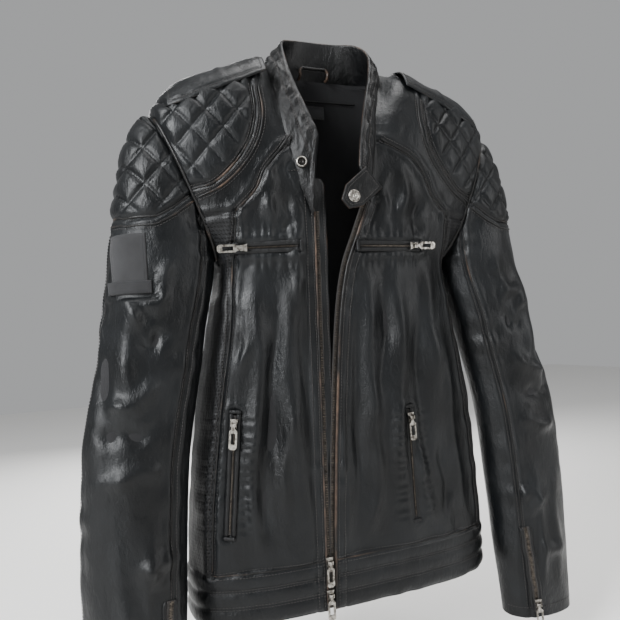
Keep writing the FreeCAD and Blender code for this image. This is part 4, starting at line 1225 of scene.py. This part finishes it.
def edge_zip(label, xz, side):
    """One half of the main zip: tape and teeth along a front edge."""
    line = line_on(xz, lift=-1.0, step=4)
    line[:, 1] += 2.2
    across = np.cross(unit(np.gradient(line, axis=0)), FORWARD)
    across *= np.sign(across[:, :1])
    sheet_piece(label + "_tape", strip(line - across * side * 2, across, FORWARD, 9, 0.6), TAPE, "root",
                (label,), "zip_tape")
    dense = resample(line, max(2, len(line) // 4)) + [side * -3.4, -0.3, 0]
    parts = [teeth(p, q, FORWARD, rows=1, gap=0) for p, q in zip(dense[:-1], dense[1:])]
    mesh_piece(label + "_teeth", *merged(parts), TEETH, "root", slot="nickel", smooth=False)


edge_zip("main_zip_right", [(-46, -206), (-50, -664)], -1)
edge_zip("main_zip_left", [(x, z) for z, x in LEFT_FRONT[5:]], 1)

# wind flap behind the wearer's right front edge
zs = np.arange(-168, -642, -STEP)
flap_rows = []
for z in zs:
    corner = np.clip((-166 - z) / 9, 0, 1) ** 0.5
    xs = np.linspace(-56, -30 - 8 * (1 - corner), 14)
    y = front_y(-44, z)[0] + 5.5 + 0.8 * math.sin(z / 31) + 0.5 * np.sin(z / 9 + xs / 7)
    flap_rows.append(np.column_stack([xs, np.broadcast_to(y, xs.shape), np.full(14, z)]))
face = np.array(flap_rows)
rim = np.clip((face[..., 0].max(axis=1, keepdims=True) - face[..., 0]) / 2, 0, 1)
upper = face + FORWARD * (0.6 + 1.6 * rim - 0.8 * bell(rim * 2 - 4, 1.2))[..., None]
under = face - FORWARD * 1.2
band_grid = np.concatenate([upper, under[:, ::-1]], axis=1)
wear = np.zeros(band_grid.shape[:2])
wear[:, 12:15] = 0.7
sheet_piece("wind_flap_hide", band_grid, LEATHER, "root", ("wind_flap",), wear=wear)
stitch_lines.append(upper[2:, 11] + np.array([0, -0.2, 0]))

# ---------------------------------------------------------------- loop, label, patch, cuffs
LOOP_WIDTH, LOOP_RADIUS = 42.0, 1.75
half = LOOP_WIDTH / 2 - LOOP_RADIUS
loop_half = [(-half, 9, -10), (-half, 2.5, -9.5), (-half, 0, -6), (-half, 0, -2), (-half + 3, 0, 1.9),
             (-half + 9, 0, 2.2)]
line = curve_through(loop_half + [(0, 0, 2.0)] + [(-x, y, z) for x, y, z in loop_half[::-1]], 90)
v, f = tube(line, LOOP_RADIUS, 14, (1, 1.2), (0.05, -1.0, 0.3))
mesh_piece("hanging_loop_strap", v, f, PIPING, "root", ("hanging_loop",),
           wear=np.clip(0.2 + 0.8 * bell(np.abs(v[:, 0]) - half, 4), 0, 1))
gx, gz = np.meshgrid(np.linspace(-17, 17, 30), np.linspace(-43, -61, 18))
label_y = (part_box("neck_label")[0][1] / MM - 0.2 - 0.35 * np.cos(gx / 17 * math.pi / 2)
           - 0.2 * np.sin(gz / 3 + gx / 9))
label_front = np.stack([gx, label_y, gz], -1)
label_grid = np.concatenate([label_front, (label_front + [0, 0.7, 0])[:, ::-1]], axis=1)
sheet_piece("neck_label_cloth", label_grid, LABEL, "root", ("neck_label",), "label_fabric")
stitch_lines.extend([label_front[1] + FORWARD * 0.3, label_front[-2] + FORWARD * 0.3])

lining_seam = []
for level in (-36.0, -38.6):
    xs = np.linspace(-64, 64, 60)
    lining_seam.append(np.column_stack([xs, front_y(xs, level, True) - 6.8, np.full(60, level)]))
mesh_piece("lining_seam", *merged([tube(lining_seam[0], 1.0, 8), stitched(lining_seam[1] + FORWARD * 0.6)]),
           PIPING, "root", slot="lining_fabric")


def sleeve_point(side, x, z, lift):
    """A point over the sleeve's shaped front face, and the direction outward."""
    points, normal, form, rows_here = sleeve_data[side]
    r = int(np.argmin(np.abs(rows_here - z)))
    front = normal[r, :, 1] < 0.15
    column = int(np.argmin(np.where(front, np.abs(points[r, :, 0] - abs(x)), 1e9)))
    outward = normal[r, column] * [side, 1, 1]
    return points[r, column] * [side, 1, 1] + outward * (form[r, column] * 0.6 + lift), outward


def sleeve_face(x, z):
    """A point of a sleeve's plain front face."""
    mid, half, deep, middle = smooth_table(SLEEVE, np.atleast_1d(float(z)))[0]
    part = np.clip(np.abs(abs(x) - mid) / half, 0, 0.985)
    return np.array([x, middle - deep * crown(part, SLEEVE_ROUNDNESS), z])


# a plain woven badge with a sewn rim, and a plain strap across its foot
for part, patch_levels, wide, base_height, finish, nodes in (
        ("badge", np.linspace(-229, -284, 56), 17.0, 1.6, PATCH, ("sleeve_patch",)),
        ("strap", np.linspace(-281, -295, 18), 20.5, 2.6, LABEL, ())):
    u = np.linspace(-1, 1, 69)[None] * wide
    z = patch_levels[:, None]
    grid = np.array([[sleeve_face(aside - PATCH_X, level) for aside in u[0]] for level in patch_levels])
    patch_out = grid_normals(grid)
    patch_out = np.where(patch_out[..., 1:2] > 0, -patch_out, patch_out)
    rim = np.minimum(wide - np.abs(u), np.minimum(patch_levels[0] - z, z - patch_levels[-1]))
    height = base_height + 1.2 * (1 - np.exp(-rim / 0.9)) - 0.35 * bell(rim - 2.2, 0.5)
    foot = grid + patch_out * 0.2
    patch_grid = np.concatenate([foot[:, :1], grid + patch_out * height[..., None], foot[:, -1:]], 1)
    patch_grid = np.concatenate([patch_grid[:1], patch_grid, patch_grid[-1:]], 0)
    patch_grid[[0, -1], 1:-1] = foot[[0, -1]]
    sheet_piece("sleeve_patch_" + part, patch_grid, finish, "sleeve_right", nodes, "patch_fabric")

CUFF_ZIP_TOP, CUFF_ZIP_FOOT = np.array([229.5, -617.0]), np.array([239.8475, -727.0])   # x and z
for side in (-1, 1):
    word = "left" if side > 0 else "right"
    line = [sleeve_point(side, *(CUFF_ZIP_TOP + (CUFF_ZIP_FOOT - CUFF_ZIP_TOP) * t), 0.6)[0]
            for t in np.linspace(0, 1, 50)]
    line = smooth_line(np.array(line), 6)
    out_mid = sleeve_point(side, 236, -670, 0)[1]
    across = unit(np.cross(out_mid, unit(line[-1] - line[0])))
    label, body = "cuff_zip_" + word, "sleeve_" + word
    sheet_piece(label + "_tape", strip(line, across, out_mid, 9, 0.8), TAPE, body, (label,), "zip_tape")
    parts = [teeth(p + out_mid * 0.5, q + out_mid * 0.5, out_mid) for p, q in zip(line[:-1:7], line[7::7])]
    mesh_piece(label + "_teeth", *merged(parts), TEETH, body, slot="nickel", smooth=False)
    lips = [tube(line + across * s * 6.0 - out_mid * 0.4, 2.4, 12, (1, 0.8), out_mid) for s in (-1, 1)]
    mesh_piece(label + "_lips", *merged(lips), COLLAR_LEATHER, body)


# ---------------------------------------------------------------- snap
def turned(name, origin, axis, profile, finish, body, nodes):
    """A ring-shaped fitting turned about an axis, from (radius, height) pairs."""
    origin, axis = np.asarray(origin, float), unit(np.asarray(axis, float))
    one = unit(np.cross(axis, [0.3, 0.2, 1.0]))
    two = np.cross(axis, one)
    turn = np.linspace(0, 2 * math.pi, 49)
    ring = np.cos(turn)[:, None] * one + np.sin(turn)[:, None] * two
    grid = np.stack([origin + ring * radius + axis * height for radius, height in profile])
    sheet_piece(name, grid, finish, body, nodes, "nickel")


SNAP_PLACE, SNAP_AXIS = (-62, -97.0, -152), (-0.35, -1, 0.05)
turned("snap_socket_ring", SNAP_PLACE, SNAP_AXIS,
       [(6.4, -1.5), (6.4, 2.0), (5.9, 2.7), (5.2, 2.9), (4.7, 2.4), (4.5, 0.6)],
       NICKEL, "root", ("snap_socket",))
# the well inside the ring, coloured with painted shade for the shade in its recess
turned("snap_socket_well", SNAP_PLACE, SNAP_AXIS,
       [(4.6, 0.9), (3.4, 0.5), (3.0, 0.6), (2.7, 1.7), (2.2, 1.8), (1.8, 0.8), (0.05, 0.6)],
       WELL_SHADE_METAL, "root", ())
cap_low, cap_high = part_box("tab_snap_cap")
cap_mid = (np.array(cap_low) + np.array(cap_high)) / 2 / MM
cap_mid[1] = cap_high[1] / MM               # the dome's foot lies on the tab
turned("tab_snap_cap_dome", cap_mid, (0, -1, 0),
       [(7.5, 0), (7.6, 1.0), (7.0, 1.9), (6.2, 2.1), (5.8, 1.7), (5.2, 1.7), (4.6, 2.2), (2.4, 2.5),
        (2.0, 2.2), (1.4, 2.2), (0.05, 2.6)], NICKEL, "collar_tab_body", ("tab_snap_cap",))

v, f = merged([stitched(line) for line in stitch_lines if len(line) > 3])
mesh_piece("topstitching", v, f, THREAD, "root")

# ---------------------------------------------------------------- CAD pieces that stay, with their finish
for name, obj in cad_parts.items():
    for word, finish in (("slider", NICKEL), ("pull", NICKEL), ("bags", LINING)):
        if word in name:
            obj.data.materials.clear()
            obj.data.materials.append(finish)


# ---------------------------------------------------------------- stage, light and camera
def plain(name, colour):
    made, _, shader = material(name)
    shader.inputs["Base Color"].default_value = (*colour, 1)
    shader.inputs["Roughness"].default_value = 0.9
    return made


bpy.ops.mesh.primitive_plane_add(size=8, location=(0, 0, -0.80))
floor = bpy.context.object
floor.name = "floor"
floor.data.materials.append(plain("pale_floor", (0.80, 0.79, 0.77)))
world = bpy.data.worlds.new("studio")
bpy.context.scene.world = world
world.use_nodes = True
backdrop = world.node_tree.nodes["Background"]
backdrop.inputs["Color"].default_value = (0.86, 0.87, 0.88, 1)
backdrop.inputs["Strength"].default_value = 0.46


def lamp(name, place, aim, size, power, colour=(1, 1, 1)):
    light = bpy.data.lights.new(name, "AREA")
    light.shape = "RECTANGLE"
    light.size, light.size_y = size
    light.energy = power
    light.color = colour
    obj = bpy.data.objects.new(name, light)
    bpy.context.scene.collection.objects.link(obj)
    obj.location = place
    obj.rotation_euler = (Vector(aim) - Vector(place)).to_track_quat("-Z", "Y").to_euler()


lamp("window", (-1.85, -1.15, 0.75), (0, 0, -0.35), (0.7, 1.5), 125, (0.96, 0.98, 1))
lamp("fill", (1.6, -1.5, 0.2), (0, 0, -0.35), (0.4, 1.4), 17)
lamp("top", (0.2, -0.2, 1.3), (0, 0, -0.3), (1.2, 0.8), 22)
lamp("rim", (0.3, 1.6, 0.4), (0, 0, -0.3), (1.2, 1.2), 42)

camera = bpy.data.cameras.new("camera")
camera.sensor_width = 36
camera.lens = 618.6 / 620 * 36
camera.clip_start = 0.01
view = bpy.data.objects.new("camera", camera)
bpy.context.scene.collection.objects.link(view)
YAW, PITCH, ROLL_ANGLE = math.radians(-21.25), math.radians(1.9), math.radians(-3.27)
ahead = Vector((-math.sin(YAW) * math.cos(PITCH), math.cos(YAW) * math.cos(PITCH), math.sin(PITCH)))
right = Vector((math.cos(YAW), math.sin(YAW), 0))
upward = right.cross(ahead)
turned_right = right * math.cos(ROLL_ANGLE) + upward * math.sin(ROLL_ANGLE)
turned_up = upward * math.cos(ROLL_ANGLE) - right * math.sin(ROLL_ANGLE)
rotation = Matrix((turned_right, turned_up, -ahead)).transposed()
view.matrix_world = Matrix.Translation((-0.315, -0.747, -0.344)) @ rotation.to_4x4()
bpy.context.scene.camera = view

bpy.context.view_layer.update()
